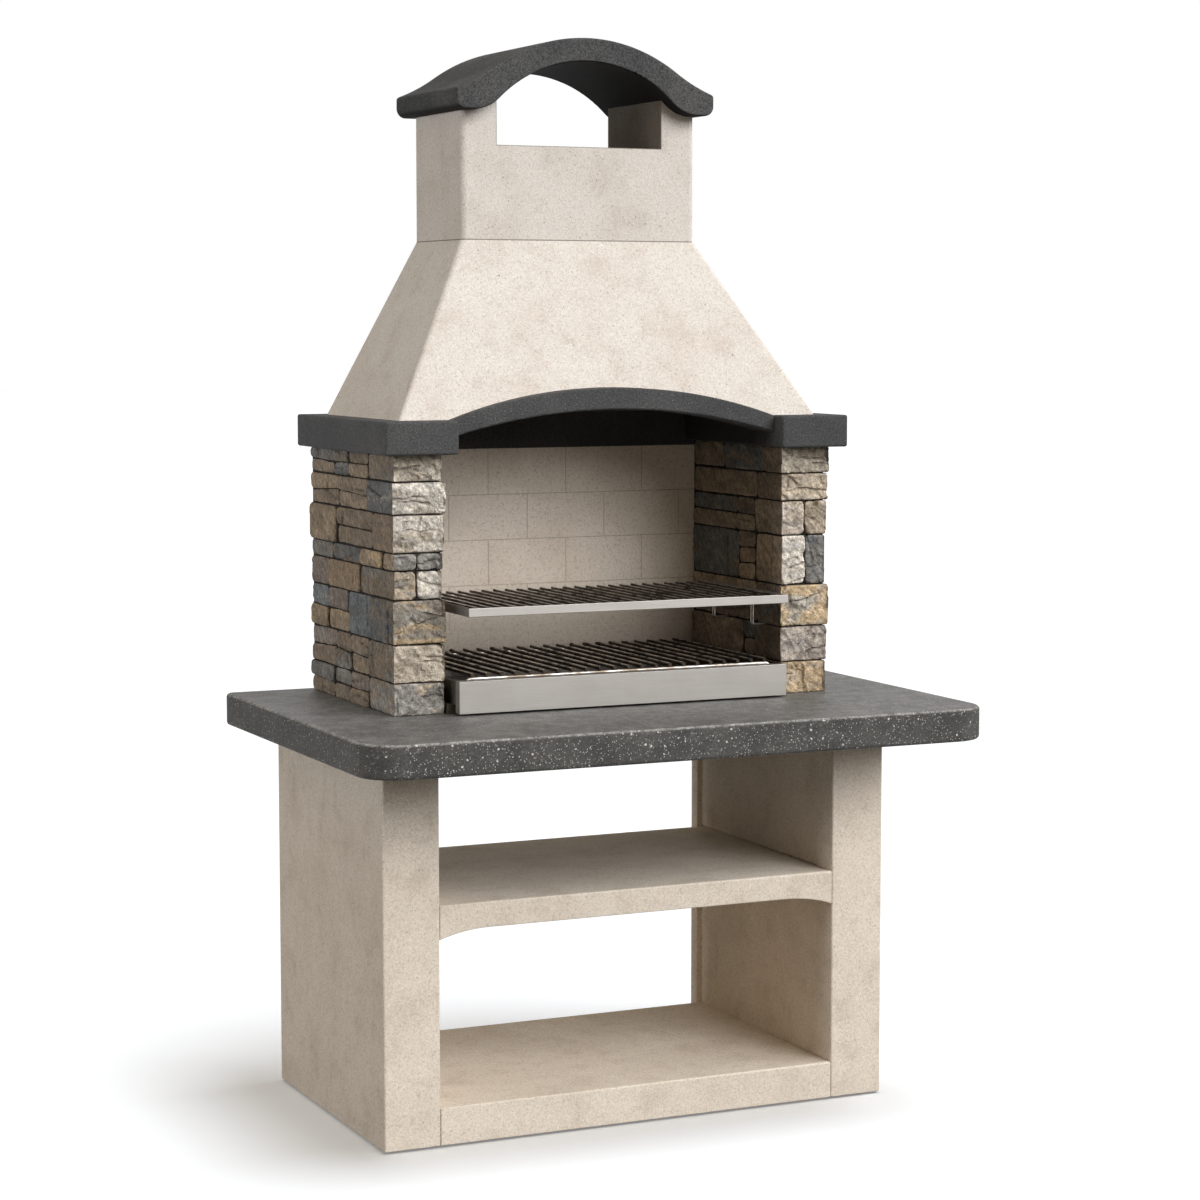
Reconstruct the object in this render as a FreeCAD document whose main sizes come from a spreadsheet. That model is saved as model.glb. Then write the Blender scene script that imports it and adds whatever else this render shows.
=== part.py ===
import FreeCAD, Part
import math
import operator
import os

import Sketcher

# Garden barbecue with a chimney, in millimetres.
# Z is up, the front faces -Y, and the origin is on the floor under the middle of the worktop.

DRIVING_SIZES = {
    # base of two legs with two shelves
    "side_overhang": 117,
    "front_overhang": 250,
    "rear_overhang": 5,
    "leg_width": 120,
    "leg_height": 782,
    "rib_width": 14,
    "rib_depth": 30,
    "bottom_shelf_thick": 77,
    "middle_shelf_top": 486,
    "middle_shelf_thick": 52,
    "haunch_drop": 18,
    "haunch_length": 107,
    "tongue_length": 15,
    "tongue_setback": 70,
    "groove_play": 1,
    "cast_round": 4,
    # worktop
    "worktop_width": 1360,
    "worktop_depth": 890,
    "worktop_thick": 68,
    "worktop_front_radius": 80,
    "worktop_rear_radius": 20,
    "worktop_round": 8,
    "work_surface": 365,
    "rear_ledge": 27,
    # firebox walls
    "firebox_width": 756,
    "wall_width": 118,
    "cladding": 25,
    "stone_relief": 6,
    "bed_joint": 4,
    "head_joint": 3,
    "support_joint": 143,
    "left_course_1": 66,
    "left_course_3": 89,
    "left_course_4": 59,
    "left_course_5": 35,
    "left_course_6": 77,
    "left_course_7": 65,
    "left_course_8": 55,
    "right_course_1": 68,
    "right_course_3": 88,
    "right_course_4": 105,
    "right_course_5": 73,
    "right_course_6": 58,
    # back wall and hearth
    "hearth_thick": 20,
    "panel_thick": 43,
    "brick_thick": 30,
    "brick_length": 184,
    "brick_bond": 72,
    "brick_joint": 2,
    # lintel ring
    "ring_height": 67,
    "ring_front_step": 34,
    "ring_back_step": 4,
    "ring_side_step": 23,
    "ring_back_drop": 11,
    "block_width": 155,
    "block_round": 5,
    "arch_setback": 38,
    "arch_depth": 100,
    "arch_rise": 61,
    "arch_crown": 44,
    "arch_end": 35,
    "arch_round": 4,
    "curved_joint": 0.3,
    # hood and chimney
    "hood_height": 364,
    "hood_front_step": 56,
    "hood_side_step": 49,
    "hood_wall": 50,
    "hood_round": 8,
    "stack_width": 532,
    "stack_depth": 266,
    "stack_height": 263,
    "stack_back_step": 47,
    "stack_round": 12,
    "flue_width": 376,
    "flue_wall": 64,
    "sill_height": 194,
    "cap_side_step": 26,
    "cap_depth_step": 41,
    "cap_rise": 104,
    "cap_thick": 48,
    "cap_under_radius": 282,
    "cap_flare_radius": 83,
    "cap_top_radius": 360,
    "cap_turn": 206,
    "cap_tip_radius": 369,
    "cap_corner": 20,
    "cap_tip_round": 8,
    "cap_round": 4,
    # tray
    "tray_side_play": 8,
    "tray_front_height": 70,
    "tray_front_depth": 22,
    "tray_reach": 44,
    "tray_rear_play": 7,
    "tray_floor_play": 4,
    "sheet_thick": 2,
    "slide_play": 0.3,
    # charcoal grate
    "grate_rod": 8,
    "grate_side_play": 31,
    "grate_foot_play": 17,
    "grate_bend": 12,
    "grate_rise": 56,
    "grate_play": 4,
    "grate_overhang": 5,
    # cooking grill
    "grill_side_play": 18.5,
    "grill_depth": 375,
    "grill_reach": 70,
    "grill_rail_height": 18,
    "grill_rail_thick": 2.5,
    "grill_return": 25,
    "grill_side_thick": 3,
    "grill_height": 201,
    "grill_bar": 6,
    "grill_bar_margin": 16.5,
    "grill_rod": 8,
    "grill_rod_inset": 12,
    "rod_gap": 0.1,
    # wire supports of the cooking grill
    "support_wire": 3,
    "support_loop": 10,
    "support_bend": 5,
    "support_front": 85,
    "support_spacing": 180,
}

BRICK_COURSES = 5
CHARCOAL_BARS = 22
GRILL_BARS = 26
SIDES = {"left": -1, "right": 1}

# Stones of each course along a wall's outer and inner face, from its front corner to its rear:
# each stone's share of the run, and the rows that it splits into.
OUTER_SHARES = [
    [0.30, 0.22, 0.20, 0.28],
    [0.30, 0.21, 0.18, 0.31],
    [0.27, 0.27, 0.25, 0.21],
    [0.40, 0.38, 0.22],
    [0.14, 0.24, 0.34, 0.28],
    [0.25, 0.42, 0.33],
    [0.30, 0.35, 0.35],
    [0.30, 0.23, 0.18, 0.29],
]
OUTER_ROW_COUNTS = [
    [1, 2, 2, 2],
    [1, 2, 2, 2],
    [1, 1, 2, 2],
    [1, 1, 1],
    [1, 1, 1, 1],
    [1, 2, 1],
    [1, 2, 2],
    [1, 2, 2, 2],
]
INNER_SHARES = [
    [0.33, 0.40, 0.27],
    [0.30, 0.12, 0.58],
    [0.28, 0.47, 0.25],
    [0.30, 0.18, 0.52],
    [0.30, 0.20, 0.50],
    [0.28, 0.72],
    [0.20, 0.45, 0.35],
]
INNER_ROW_COUNTS = [
    [1, 1, 1],
    [1, 2, 1],
    [1, 2, 2],
    [1, 3, 1],
    [1, 2, 2],
    [1, 1],
    [1, 1, 1],
]
# Courses, counted from 1, whose front shows two stones, with the outer stone's share of the wall's width.
FRONT_SPLIT_SHARES = {"left": {4: 0.48, 5: 0.48}, "right": {4: 0.45, 5: 0.47}}
# A stone's course, column and row are weighed and added to pick how far its face stands back.
RELIEF_STEPS = 4
RELIEF_WEIGHTS = (3, 5, 2)

# The middle of a quarter arc lies this share of its radius from each of the arc's two tangent lines.
ARC_MIDDLE = 1 - math.sqrt(0.5)
# Edges closer than this to a plane are taken to lie in it.
TOUCH = 0.01

doc = FreeCAD.newDocument("garden_barbecue")
nodes = []


class Size:
    """A length in millimetres together with the expression that ties it to the spreadsheet."""

    def __init__(self, value, text):
        self.value = value
        self.text = text

    def __add__(self, other):
        return joined(self, "+", other)

    def __radd__(self, other):
        return joined(other, "+", self)

    def __sub__(self, other):
        return joined(self, "-", other)

    def __rsub__(self, other):
        return joined(other, "-", self)

    def __mul__(self, other):
        return joined(self, "*", other)

    def __rmul__(self, other):
        return joined(other, "*", self)

    def __truediv__(self, other):
        return joined(self, "/", other)

    def __neg__(self):
        return joined(0, "-", self)


ARITHMETIC = {"+": operator.add, "-": operator.sub, "*": operator.mul, "/": operator.truediv}


def as_size(number):
    return number if isinstance(number, Size) else Size(number, f"({number})")


def joined(left, sign, right):
    left = as_size(left)
    right = as_size(right)
    return Size(ARITHMETIC[sign](left.value, right.value), f"({left.text} {sign} {right.text})")


def root(size):
    return Size(math.sqrt(size.value), f"sqrt({size.text})")


class Sheet:
    """The spreadsheet's driving sizes, each one an attribute."""

    def __init__(self, sizes):
        sheet = doc.addObject("Spreadsheet::Sheet", "Sizes")
        for row, (alias, value) in enumerate(sizes.items(), start=1):
            sheet.set(f"A{row}", alias)
            sheet.set(f"B{row}", str(value))
            sheet.setAlias(f"B{row}", alias)
            setattr(self, alias, Size(value, f"Sizes.{alias}"))
        doc.recompute()


s = Sheet(DRIVING_SIZES)

# Places that several pieces share, from front to back
worktop_front = -s.worktop_depth / 2
base_front = worktop_front + s.front_overhang
base_depth = s.worktop_depth - s.front_overhang - s.rear_overhang
wall_front = worktop_front + s.work_surface
wall_back = s.worktop_depth / 2 - s.rear_ledge
core_front = wall_front + s.cladding
panel_front = wall_back - s.panel_thick
brick_front = panel_front - s.brick_thick
ring_front = wall_front - s.ring_front_step
ring_back = wall_back + s.ring_back_step
arch_front = ring_front + s.arch_setback
arch_back = arch_front + s.arch_depth
hood_front = ring_front + s.hood_front_step
stack_back = ring_back - s.stack_back_step
stack_front = stack_back - s.stack_depth

# Places from the middle to the side
leg_inner = s.worktop_width / 2 - s.side_overhang - s.leg_width
wall_inner = s.firebox_width / 2
wall_outer = wall_inner + s.wall_width
core_inner = wall_inner + s.cladding
core_outer = wall_outer - s.cladding
ring_outer = wall_outer + s.ring_side_step
block_inner = ring_outer - s.block_width
hood_outer = ring_outer - s.hood_side_step

# Places from the floor up
worktop_top = s.leg_height + s.worktop_thick
hearth_top = worktop_top + s.hearth_thick
support_level = worktop_top + s.support_joint
left_courses = [s.left_course_3, s.left_course_4, s.left_course_5,
                s.left_course_6, s.left_course_7, s.left_course_8]
right_courses = [s.right_course_3, s.right_course_4, s.right_course_5, s.right_course_6]
wall_top = sum(left_courses, support_level)
panel_top = wall_top - s.ring_back_drop
ring_top = wall_top + s.ring_height
hood_top = ring_top + s.hood_height
sill_top = hood_top + s.sill_height
eave = hood_top + s.stack_height
grill_bottom = worktop_top + s.grill_height


def node(thing, label):
    thing.Label = label
    nodes.append(thing)
    return thing


def place(thing, x=0, y=0, z=0):
    for axis, position in zip("xyz", (x, y, z)):
        thing.setExpression(f"Placement.Base.{axis}", as_size(position).text)


def block(name, x, y, z):
    """A box between a low and a high place on each axis."""
    box = doc.addObject("Part::Box", name)
    for side, (low, high) in zip(("Length", "Width", "Height"), (x, y, z)):
        box.setExpression(side, (high - low).text)
    place(box, x[0], y[0], z[0])
    return box


def mirrored_span(side, near, far):
    """The low and high X of a span that runs from near the middle to far from it, on one side."""
    return (near, far) if side > 0 else (-far, -near)


def cut(name, base, tool):
    result = doc.addObject("Part::Cut", name)
    result.Base = base
    result.Tool = tool
    return result


def fuse(name, pieces):
    result = doc.addObject("Part::MultiFuse", name)
    result.Shapes = pieces
    result.Refine = True
    return result


def group(name, pieces):
    result = doc.addObject("Part::Compound", name)
    result.Links = pieces
    return result


def new_body(name, x=0, y=0, z=0):
    body = doc.addObject("PartDesign::Body", name)
    place(body, x, y, z)
    return body


def new_sketch(body, plane_role, offset=None):
    plane = next(part for part in body.Origin.OriginFeatures if part.Role == plane_role)
    sketch = body.newObject("Sketcher::SketchObject", body.Name + "_sketch")
    sketch.AttachmentSupport = (plane, "")
    sketch.MapMode = "FlatFace"
    if offset is not None:
        sketch.setExpression("AttachmentOffset.Base.z", offset.text)
    return sketch


def pin_point(sketch, geometry, position, x, y):
    """Hold one point of the sketch at a place that follows the spreadsheet."""
    for kind, axis, size in (("DistanceX", -2, as_size(x)), ("DistanceY", -1, as_size(y))):
        if size.value == 0:
            sketch.addConstraint(Sketcher.Constraint("PointOnObject", geometry, position, axis))
            continue
        index = sketch.addConstraint(Sketcher.Constraint(kind, -1, 1, geometry, position, size.value))
        sketch.setExpression(f"Constraints[{index}]", size.text)


def vector(x, y):
    return FreeCAD.Vector(as_size(x).value, as_size(y).value, 0)


def outline(sketch, start, steps, closed=True):
    """Draw lines to (x, y) and arcs through (x, y) to (x, y), given as pairs and fours, from the start."""
    ends = []
    here = start
    for step in steps:
        there = step[-2:]
        first, last = 1, 2
        if len(step) == 2:
            curve = Part.LineSegment(vector(*here), vector(*there))
            index = sketch.addGeometry(curve, False)
        else:
            way = step[:2]
            turn = (vector(*way) - vector(*here)).cross(vector(*there) - vector(*way)).z
            if turn > 0:
                curve = Part.Arc(vector(*here), vector(*way), vector(*there))
            else:
                curve = Part.Arc(vector(*there), vector(*way), vector(*here))
                first, last = 2, 1
            index = sketch.addGeometry(curve, False)
            mark = sketch.addGeometry(Part.Point(vector(*way)), True)
            pin_point(sketch, mark, 1, *way)
            sketch.addConstraint(Sketcher.Constraint("PointOnObject", mark, 1, index))
        pin_point(sketch, index, last, *there)
        ends.append((index, first, last))
        here = there
    for (before, _, last), (after, first, _) in zip(ends, ends[1:]):
        sketch.addConstraint(Sketcher.Constraint("Coincident", before, last, after, first))
    opening, first, _ = ends[0]
    closing, _, last = ends[-1]
    if closed:
        sketch.addConstraint(Sketcher.Constraint("Coincident", closing, last, opening, first))
    else:
        pin_point(sketch, opening, first, *start)


def rectangle(sketch, x, y):
    corners = [(x[1], y[0]), (x[1], y[1]), (x[0], y[1]), (x[0], y[0])]
    outline(sketch, (x[0], y[0]), corners)


def rounded_rectangle(sketch, x, y, radius):
    way = radius * ARC_MIDDLE
    outline(sketch, (x[0] + radius, y[0]), [
        (x[1] - radius, y[0]),
        (x[1] - way, y[0] + way, x[1], y[0] + radius),
        (x[1], y[1] - radius),
        (x[1] - way, y[1] - way, x[1] - radius, y[1]),
        (x[0] + radius, y[1]),
        (x[0] + way, y[1] - way, x[0], y[1] - radius),
        (x[0], y[0] + radius),
        (x[0] + way, y[0] + way, x[0] + radius, y[0]),
    ])


def circle(sketch, x, y, radius):
    index = sketch.addGeometry(Part.Circle(vector(x, y), FreeCAD.Vector(0, 0, 1), radius.value), False)
    pin_point(sketch, index, 3, x, y)
    constraint = sketch.addConstraint(Sketcher.Constraint("Radius", index, radius.value))
    sketch.setExpression(f"Constraints[{constraint}]", radius.text)


def pad(body, sketch, length):
    feature = body.newObject("PartDesign::Pad", body.Name + "_pad")
    feature.Profile = sketch
    feature.setExpression("Length", length.text)
    return feature


def round_edges(body, radius, wanted):
    """Round the edges of the body's last feature that the test picks."""
    doc.recompute()
    base = body.Tip
    names = [f"Edge{number}" for number, edge in enumerate(base.Shape.Edges, start=1) if wanted(edge)]
    fillet = body.newObject("PartDesign::Fillet", body.Name + "_round")
    fillet.Base = (base, names)
    fillet.setExpression("Radius", radius.text)
    return fillet


def is_upright(edge):
    box = edge.BoundBox
    return box.XLength < TOUCH and box.YLength < TOUCH


def lies_at(edge, axis, place_of_plane):
    """True if the whole edge lies in the plane at that place on the axis."""
    box = edge.BoundBox
    low = getattr(box, axis + "Min")
    high = getattr(box, axis + "Max")
    return abs(low - place_of_plane) < TOUCH and abs(high - place_of_plane) < TOUCH


def make_leg(name, side):
    """A cast side leg with a rib at its rear inner edge and a groove for the middle shelf."""
    body = new_body(f"leg_{name}", side * leg_inner, base_front)
    sketch = new_sketch(body, "XY_Plane")
    far = side * s.leg_width
    rib = -side * s.rib_width
    rib_front = base_depth - s.rib_depth
    outline(sketch, (0, 0), [(far, 0), (far, base_depth), (rib, base_depth), (rib, rib_front),
                             (0, rib_front), (0, 0)])
    pad(body, sketch, s.leg_height)
    round_edges(body, s.cast_round, is_upright_corner(side))
    groove_floor = s.middle_shelf_top - s.middle_shelf_thick
    groove_end = leg_inner + s.tongue_length + s.groove_play
    groove = block(f"groove_{name}",
                   mirrored_span(side, leg_inner - s.tongue_length, groove_end),
                   (base_front + s.tongue_setback - s.groove_play, base_front + rib_front),
                   (groove_floor, s.middle_shelf_top + s.groove_play))
    return node(cut(f"leg_cut_{name}", body, groove), f"base_leg_{name}")


def is_upright_corner(side):
    """Picks a leg's upright edges on its outer side and at its front."""
    def wanted(edge):
        box = edge.BoundBox
        at_front = box.YMax < s.cast_round.value
        outside = side * box.Center.x > s.leg_width.value / 2
        return is_upright(edge) and (at_front or outside)
    return wanted


def make_bottom_shelf():
    body = new_body("bottom_shelf_body", 0, base_front)
    sketch = new_sketch(body, "XY_Plane")
    rectangle(sketch, (-leg_inner, leg_inner), (as_size(0), base_depth - s.rib_depth))
    pad(body, sketch, s.bottom_shelf_thick)
    top = s.bottom_shelf_thick.value
    round_edges(body, s.cast_round, lambda edge: lies_at(edge, "Z", top) and lies_at(edge, "Y", 0))
    return node(body, "bottom_shelf")


def make_middle_shelf():
    """A shelf whose underside drops in a curve to each leg, with tongues that sit in the legs' grooves."""
    depth = base_depth - s.rib_depth
    body = new_body("middle_shelf_body", 0, base_front + depth, s.middle_shelf_top)
    sketch = new_sketch(body, "XZ_Plane")
    underside = -s.middle_shelf_thick
    haunch = underside - s.haunch_drop
    flat = leg_inner - s.haunch_length
    bow_x = leg_inner - s.haunch_length / 2
    bow_z = underside - s.haunch_drop / 4
    outline(sketch, (-leg_inner, 0), [
        (-leg_inner, haunch),
        (-bow_x, bow_z, -flat, underside),
        (flat, underside),
        (bow_x, bow_z, leg_inner, haunch),
        (leg_inner, 0),
        (-leg_inner, 0),
    ])
    pad(body, sketch, depth)
    round_edges(body, s.cast_round, lambda edge: lies_at(edge, "Z", 0) and lies_at(edge, "Y", -depth.value))
    tongue_y = (base_front + s.tongue_setback, base_front + depth)
    tongue_z = (s.middle_shelf_top - s.middle_shelf_thick, s.middle_shelf_top)
    tongues = [block(f"tongue_{name}", mirrored_span(side, leg_inner, leg_inner + s.tongue_length),
                     tongue_y, tongue_z) for name, side in SIDES.items()]
    return node(fuse("middle_shelf_fuse", [body] + tongues), "middle_shelf")


def make_worktop():
    body = new_body("worktop_body", 0, 0, s.leg_height)
    sketch = new_sketch(body, "XY_Plane")
    half_width = s.worktop_width / 2
    rectangle(sketch, (-half_width, half_width), (worktop_front, -worktop_front))
    pad(body, sketch, s.worktop_thick)
    round_edges(body, s.worktop_front_radius, lambda edge: is_upright(edge) and edge.BoundBox.YMax < 0)
    round_edges(body, s.worktop_rear_radius, lambda edge: is_upright(edge) and edge.BoundBox.YMin > 0)
    levels = (0, s.worktop_thick.value)
    round_edges(body, s.worktop_round, lambda edge: any(lies_at(edge, "Z", level) for level in levels))
    return node(body, "worktop")


def make_hearth_slab():
    slab = block("hearth", (-wall_inner, wall_inner), (wall_front, panel_front), (worktop_top, hearth_top))
    return node(slab, "hearth_slab")


def make_wall_core(name, side):
    """The cast core that a side wall's stones are bedded on."""
    core = block(f"core_{name}", mirrored_span(side, core_inner, core_outer), (core_front, wall_back),
                 (worktop_top, wall_top))
    return node(core, f"{name}_wall_core")


def course_levels(first, upper):
    """Bottom of each course above the first, when two courses reach up to the joint of the grill supports."""
    levels = [worktop_top + first, support_level]
    for height in upper:
        levels.append(levels[-1] + height)
    return levels


def relief(*places):
    """How far a stone's face stands back from the wall's face, in even steps that look unordered."""
    step = sum(weight * number for weight, number in zip(RELIEF_WEIGHTS, places)) % RELIEF_STEPS
    return s.stone_relief * step / (RELIEF_STEPS - 1)


def stone_rows(bottom, top, count):
    """Low and high Z of each row in a course, with a head joint between rows."""
    height = (top - bottom - s.head_joint * (count - 1)) / count
    lows = [bottom + (height + s.head_joint) * row for row in range(count)]
    return [(low, low + height) for low in lows]


def stones_of(course, shares, row_counts):
    """Share and row count of each stone along a course. Courses past the end of the lists start over."""
    index = (course - 1) % len(shares)
    return list(zip(shares[index], row_counts[index]))


def make_run(label, side, course, stones_along, rear, faces, z):
    """The stones on one face of a course behind its corner stone, and the corner stone's return."""
    run = rear - wall_front
    corner_share, _ = stones_along[0]
    start = wall_front + run * corner_share
    corner_return = start
    stones = []
    for column, (share, rows) in enumerate(stones_along[1:], start=1):
        end = start + run * share
        for row, (low, high) in enumerate(stone_rows(*z, rows)):
            back, face, outward = faces
            shift = relief(course, column, row) * outward
            near, far = (face - shift, back) if outward < 0 else (back, face - shift)
            stones.append(block(f"{label}_{column}_{row}", mirrored_span(side, near, far),
                                (start + s.head_joint, end), (low, high)))
        start = end
    return stones, corner_return


def make_corner(label, side, course, split, returns, z):
    """The stone or two stones that wrap a course's front, round the core."""
    set_back = relief(course, 1, 1)
    front = wall_front + set_back
    outer_face = wall_outer - set_back
    inner_face = wall_inner + set_back
    outer_span = mirrored_span(side, core_outer, outer_face)
    inner_span = mirrored_span(side, inner_face, core_inner)
    outer_return = block(f"{label}_outer", outer_span, (front, returns[0]), z)
    inner_return = block(f"{label}_inner", inner_span, (front, returns[1]), z)
    if split is None:
        face = block(f"{label}_front", mirrored_span(side, inner_face, outer_face), (front, core_front), z)
        return [fuse(f"{label}_stone", [face, outer_return, inner_return])]
    seam = wall_outer - s.wall_width * split
    outer_half = block(f"{label}_front_outer", mirrored_span(side, seam + s.head_joint / 2, outer_face),
                       (front, core_front), z)
    inner_half = block(f"{label}_front_inner", mirrored_span(side, inner_face, seam - s.head_joint / 2),
                       (front, core_front), z)
    return [fuse(f"{label}_outer_stone", [outer_half, outer_return]),
            fuse(f"{label}_inner_stone", [inner_half, inner_return])]


def make_stone_courses(name, side, bed_levels):
    """Every course of a wall is a node of its own: corner stones, outer stones and inner stones."""
    levels = [worktop_top] + bed_levels + [wall_top]
    last = len(levels) - 1
    for course in range(1, last + 1):
        is_top = course == last
        bottom = levels[course - 1] if course == 1 else levels[course - 1] + s.bed_joint / 2
        top = levels[course] if is_top else levels[course] - s.bed_joint / 2
        z = (bottom, top)
        label = f"{name}_{course}"
        outer_run = stones_of(course, OUTER_SHARES, OUTER_ROW_COUNTS)
        inner_run = stones_of(course, INNER_SHARES, INNER_ROW_COUNTS)
        outer, outer_return = make_run(f"{label}_out", side, course, outer_run,
                                       wall_back, (core_outer, wall_outer, 1), z)
        inner, inner_return = make_run(f"{label}_in", side, course, inner_run,
                                       brick_front - s.head_joint, (core_inner, wall_inner, -1), z)
        corner = make_corner(f"{label}_corner", side, course, FRONT_SPLIT_SHARES[name].get(course),
                             (outer_return, inner_return), z)
        node(group(f"course_{label}", corner + outer + inner), f"{name}_stone_course_{course}")


def make_back_panel():
    return node(block("panel", (-core_inner, core_inner), (panel_front, wall_back), (worktop_top, panel_top)),
                "back_panel")


def make_brick_courses():
    """Running-bond refractory bricks in front of the back panel, from the hearth up."""
    pitch = (panel_top - hearth_top) / BRICK_COURSES
    for course in range(BRICK_COURSES):
        bond = s.brick_bond if course % 2 == 0 else s.brick_bond - s.brick_length / 2
        first = math.ceil((-core_inner - bond).value / s.brick_length.value)
        final = math.floor((core_inner - bond).value / s.brick_length.value)
        seams = [bond + s.brick_length * number for number in range(first, final + 1)]
        z_low = hearth_top + pitch * course
        z_high = z_low + pitch - (s.brick_joint if course < BRICK_COURSES - 1 else 0)
        starts = [-core_inner] + [seam + s.brick_joint / 2 for seam in seams]
        ends = [seam - s.brick_joint / 2 for seam in seams] + [core_inner]
        bricks = [block(f"brick_{course + 1}_{number}", span, (brick_front, panel_front), (z_low, z_high))
                  for number, span in enumerate(zip(starts, ends), start=1)]
        node(group(f"bricks_{course + 1}", bricks), f"back_brick_course_{course + 1}")


def make_lintel_block(name, side):
    low, high = mirrored_span(side, block_inner, ring_outer)
    body = new_body(f"lintel_block_{name}", low, ring_front, wall_top)
    sketch = new_sketch(body, "XY_Plane")
    rectangle(sketch, (as_size(0), high - low), (as_size(0), ring_back - ring_front))
    pad(body, sketch, s.ring_height)
    round_edges(body, s.block_round, lambda edge: True)
    return node(body, f"lintel_{name}_block")


def make_lintel_arch():
    """The arched front beam between the end blocks."""
    body = new_body("lintel_arch_body", 0, arch_back, ring_top)
    sketch = new_sketch(body, "XZ_Plane")
    outline(sketch, (-block_inner, 0), [
        (-block_inner, -s.arch_end),
        (0, s.arch_rise - s.arch_crown, block_inner, -s.arch_end),
        (block_inner, 0),
        (0, s.arch_rise, -block_inner, 0),
    ])
    pad(body, sketch, s.arch_depth)
    front = -s.arch_depth.value
    round_edges(body, s.arch_round, lambda edge: lies_at(edge, "Y", front) and not is_upright(edge))
    return node(body, "lintel_arch")


def make_lintel_back_beam():
    """The beam over the back wall, with a foot that runs on under the end blocks as far as the cores."""
    beam = block("back_beam_bar", (-block_inner, block_inner), (brick_front, ring_back), (panel_top, ring_top))
    foot = block("back_beam_foot", (-core_inner, core_inner), (brick_front, wall_back), (panel_top, wall_top))
    return node(fuse("back_beam", [beam, foot]), "lintel_back_beam")


def make_hood():
    """A hollow tapered hood whose front wall rests on the arch."""
    body = new_body("hood_body", 0, 0, ring_top)
    half_stack = s.stack_width / 2
    half_flue = s.flue_width / 2
    foot = new_sketch(body, "XY_Plane")
    rounded_rectangle(foot, (-hood_outer, hood_outer), (hood_front, stack_back), s.hood_round)
    neck = new_sketch(body, "XY_Plane", s.hood_height)
    rounded_rectangle(neck, (-half_stack, half_stack), (stack_front, stack_back), s.stack_round)
    shell = body.newObject("PartDesign::AdditiveLoft", "hood_shell")
    shell.Profile = foot
    shell.Sections = [neck]
    shell.Ruled = True
    inner_foot = new_sketch(body, "XY_Plane")
    inner_half = hood_outer - s.hood_wall
    rectangle(inner_foot, (-inner_half, inner_half), (hood_front + s.hood_wall, stack_back - s.hood_wall))
    inner_neck = new_sketch(body, "XY_Plane", s.hood_height)
    rectangle(inner_neck, (-half_flue, half_flue), (stack_front + s.flue_wall, stack_back - s.flue_wall))
    throat = body.newObject("PartDesign::SubtractiveLoft", "hood_throat")
    throat.Profile = inner_foot
    throat.Sections = [inner_neck]
    throat.Ruled = True
    space = new_body("arch_space", 0, arch_back, ring_top)
    sketch = new_sketch(space, "XZ_Plane")
    crown = s.arch_rise + s.curved_joint
    outline(sketch, (-block_inner, -s.arch_end), [
        (block_inner, -s.arch_end),
        (block_inner, s.curved_joint),
        (0, crown, -block_inner, s.curved_joint),
        (-block_inner, -s.arch_end),
    ])
    pad(space, sketch, s.arch_depth + s.arch_setback)
    return node(cut("hood_cut", body, space), "hood")


def cap_half_width():
    return s.stack_width / 2 + s.cap_side_step


def cap_underside():
    """Start and steps of the cap's lower line: level, flare arc, crown arc, flare arc, level."""
    bend = s.cap_under_radius + s.cap_flare_radius
    turn_cos = 1 - s.cap_rise / bend
    turn_sin = root(1 - turn_cos * turn_cos)
    crown_x = s.cap_under_radius * turn_sin
    crown_z = s.cap_flare_radius * (1 - turn_cos)
    level_x = bend * turn_sin
    flare_x = level_x - s.cap_flare_radius * root((1 - turn_cos) / 2)
    flare_z = s.cap_flare_radius * (1 - root((1 + turn_cos) / 2))
    end_x = cap_half_width() - s.cap_corner
    return (-end_x, 0), [
        (-level_x, 0),
        (-flare_x, flare_z, -crown_x, crown_z),
        (0, s.cap_rise, crown_x, crown_z),
        (flare_x, flare_z, level_x, 0),
        (end_x, 0),
    ]


def make_cap():
    """A curved slab along Y: crowned in the middle and flared at both ends."""
    half = cap_half_width()
    depth = s.stack_depth + s.cap_depth_step * 2
    body = new_body("cap_body", 0, stack_back + s.cap_depth_step, eave)
    sketch = new_sketch(body, "XZ_Plane")
    # Upper line: a crown arc, then a flatter arc that meets it in line and runs out to the end
    top = s.cap_rise + s.cap_thick
    turn_sin = s.cap_turn / s.cap_top_radius
    turn_cos = root(1 - turn_sin * turn_sin)
    turn_z = top - s.cap_top_radius * (1 - turn_cos)
    tip_centre_x = (s.cap_top_radius + s.cap_tip_radius) * turn_sin
    tip_centre_z = turn_z + s.cap_tip_radius * turn_cos

    def tip_height(x):
        reach = tip_centre_x - x
        return tip_centre_z - root(s.cap_tip_radius * s.cap_tip_radius - reach * reach)

    tip_x = (s.cap_turn + half) / 2
    corner_way = s.cap_corner * ARC_MIDDLE
    start, underside = cap_underside()
    outline(sketch, start, underside + [
        (half - corner_way, corner_way, half, s.cap_corner),
        (half, tip_height(half)),
        (tip_x, tip_height(tip_x), s.cap_turn, turn_z),
        (0, top, -s.cap_turn, turn_z),
        (-tip_x, tip_height(tip_x), -half, tip_height(half)),
        (-half, s.cap_corner),
        (corner_way - half, corner_way, *start),
    ])
    pad(body, sketch, depth)
    tip_level = tip_height(half).value
    round_edges(body, s.cap_tip_round, lambda edge: lies_at(edge, "Z", tip_level))
    ends = (0, -depth.value)
    round_edges(body, s.cap_round, lambda edge: any(lies_at(edge, "Y", end) for end in ends))
    return node(body, "chimney_cap")


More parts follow.
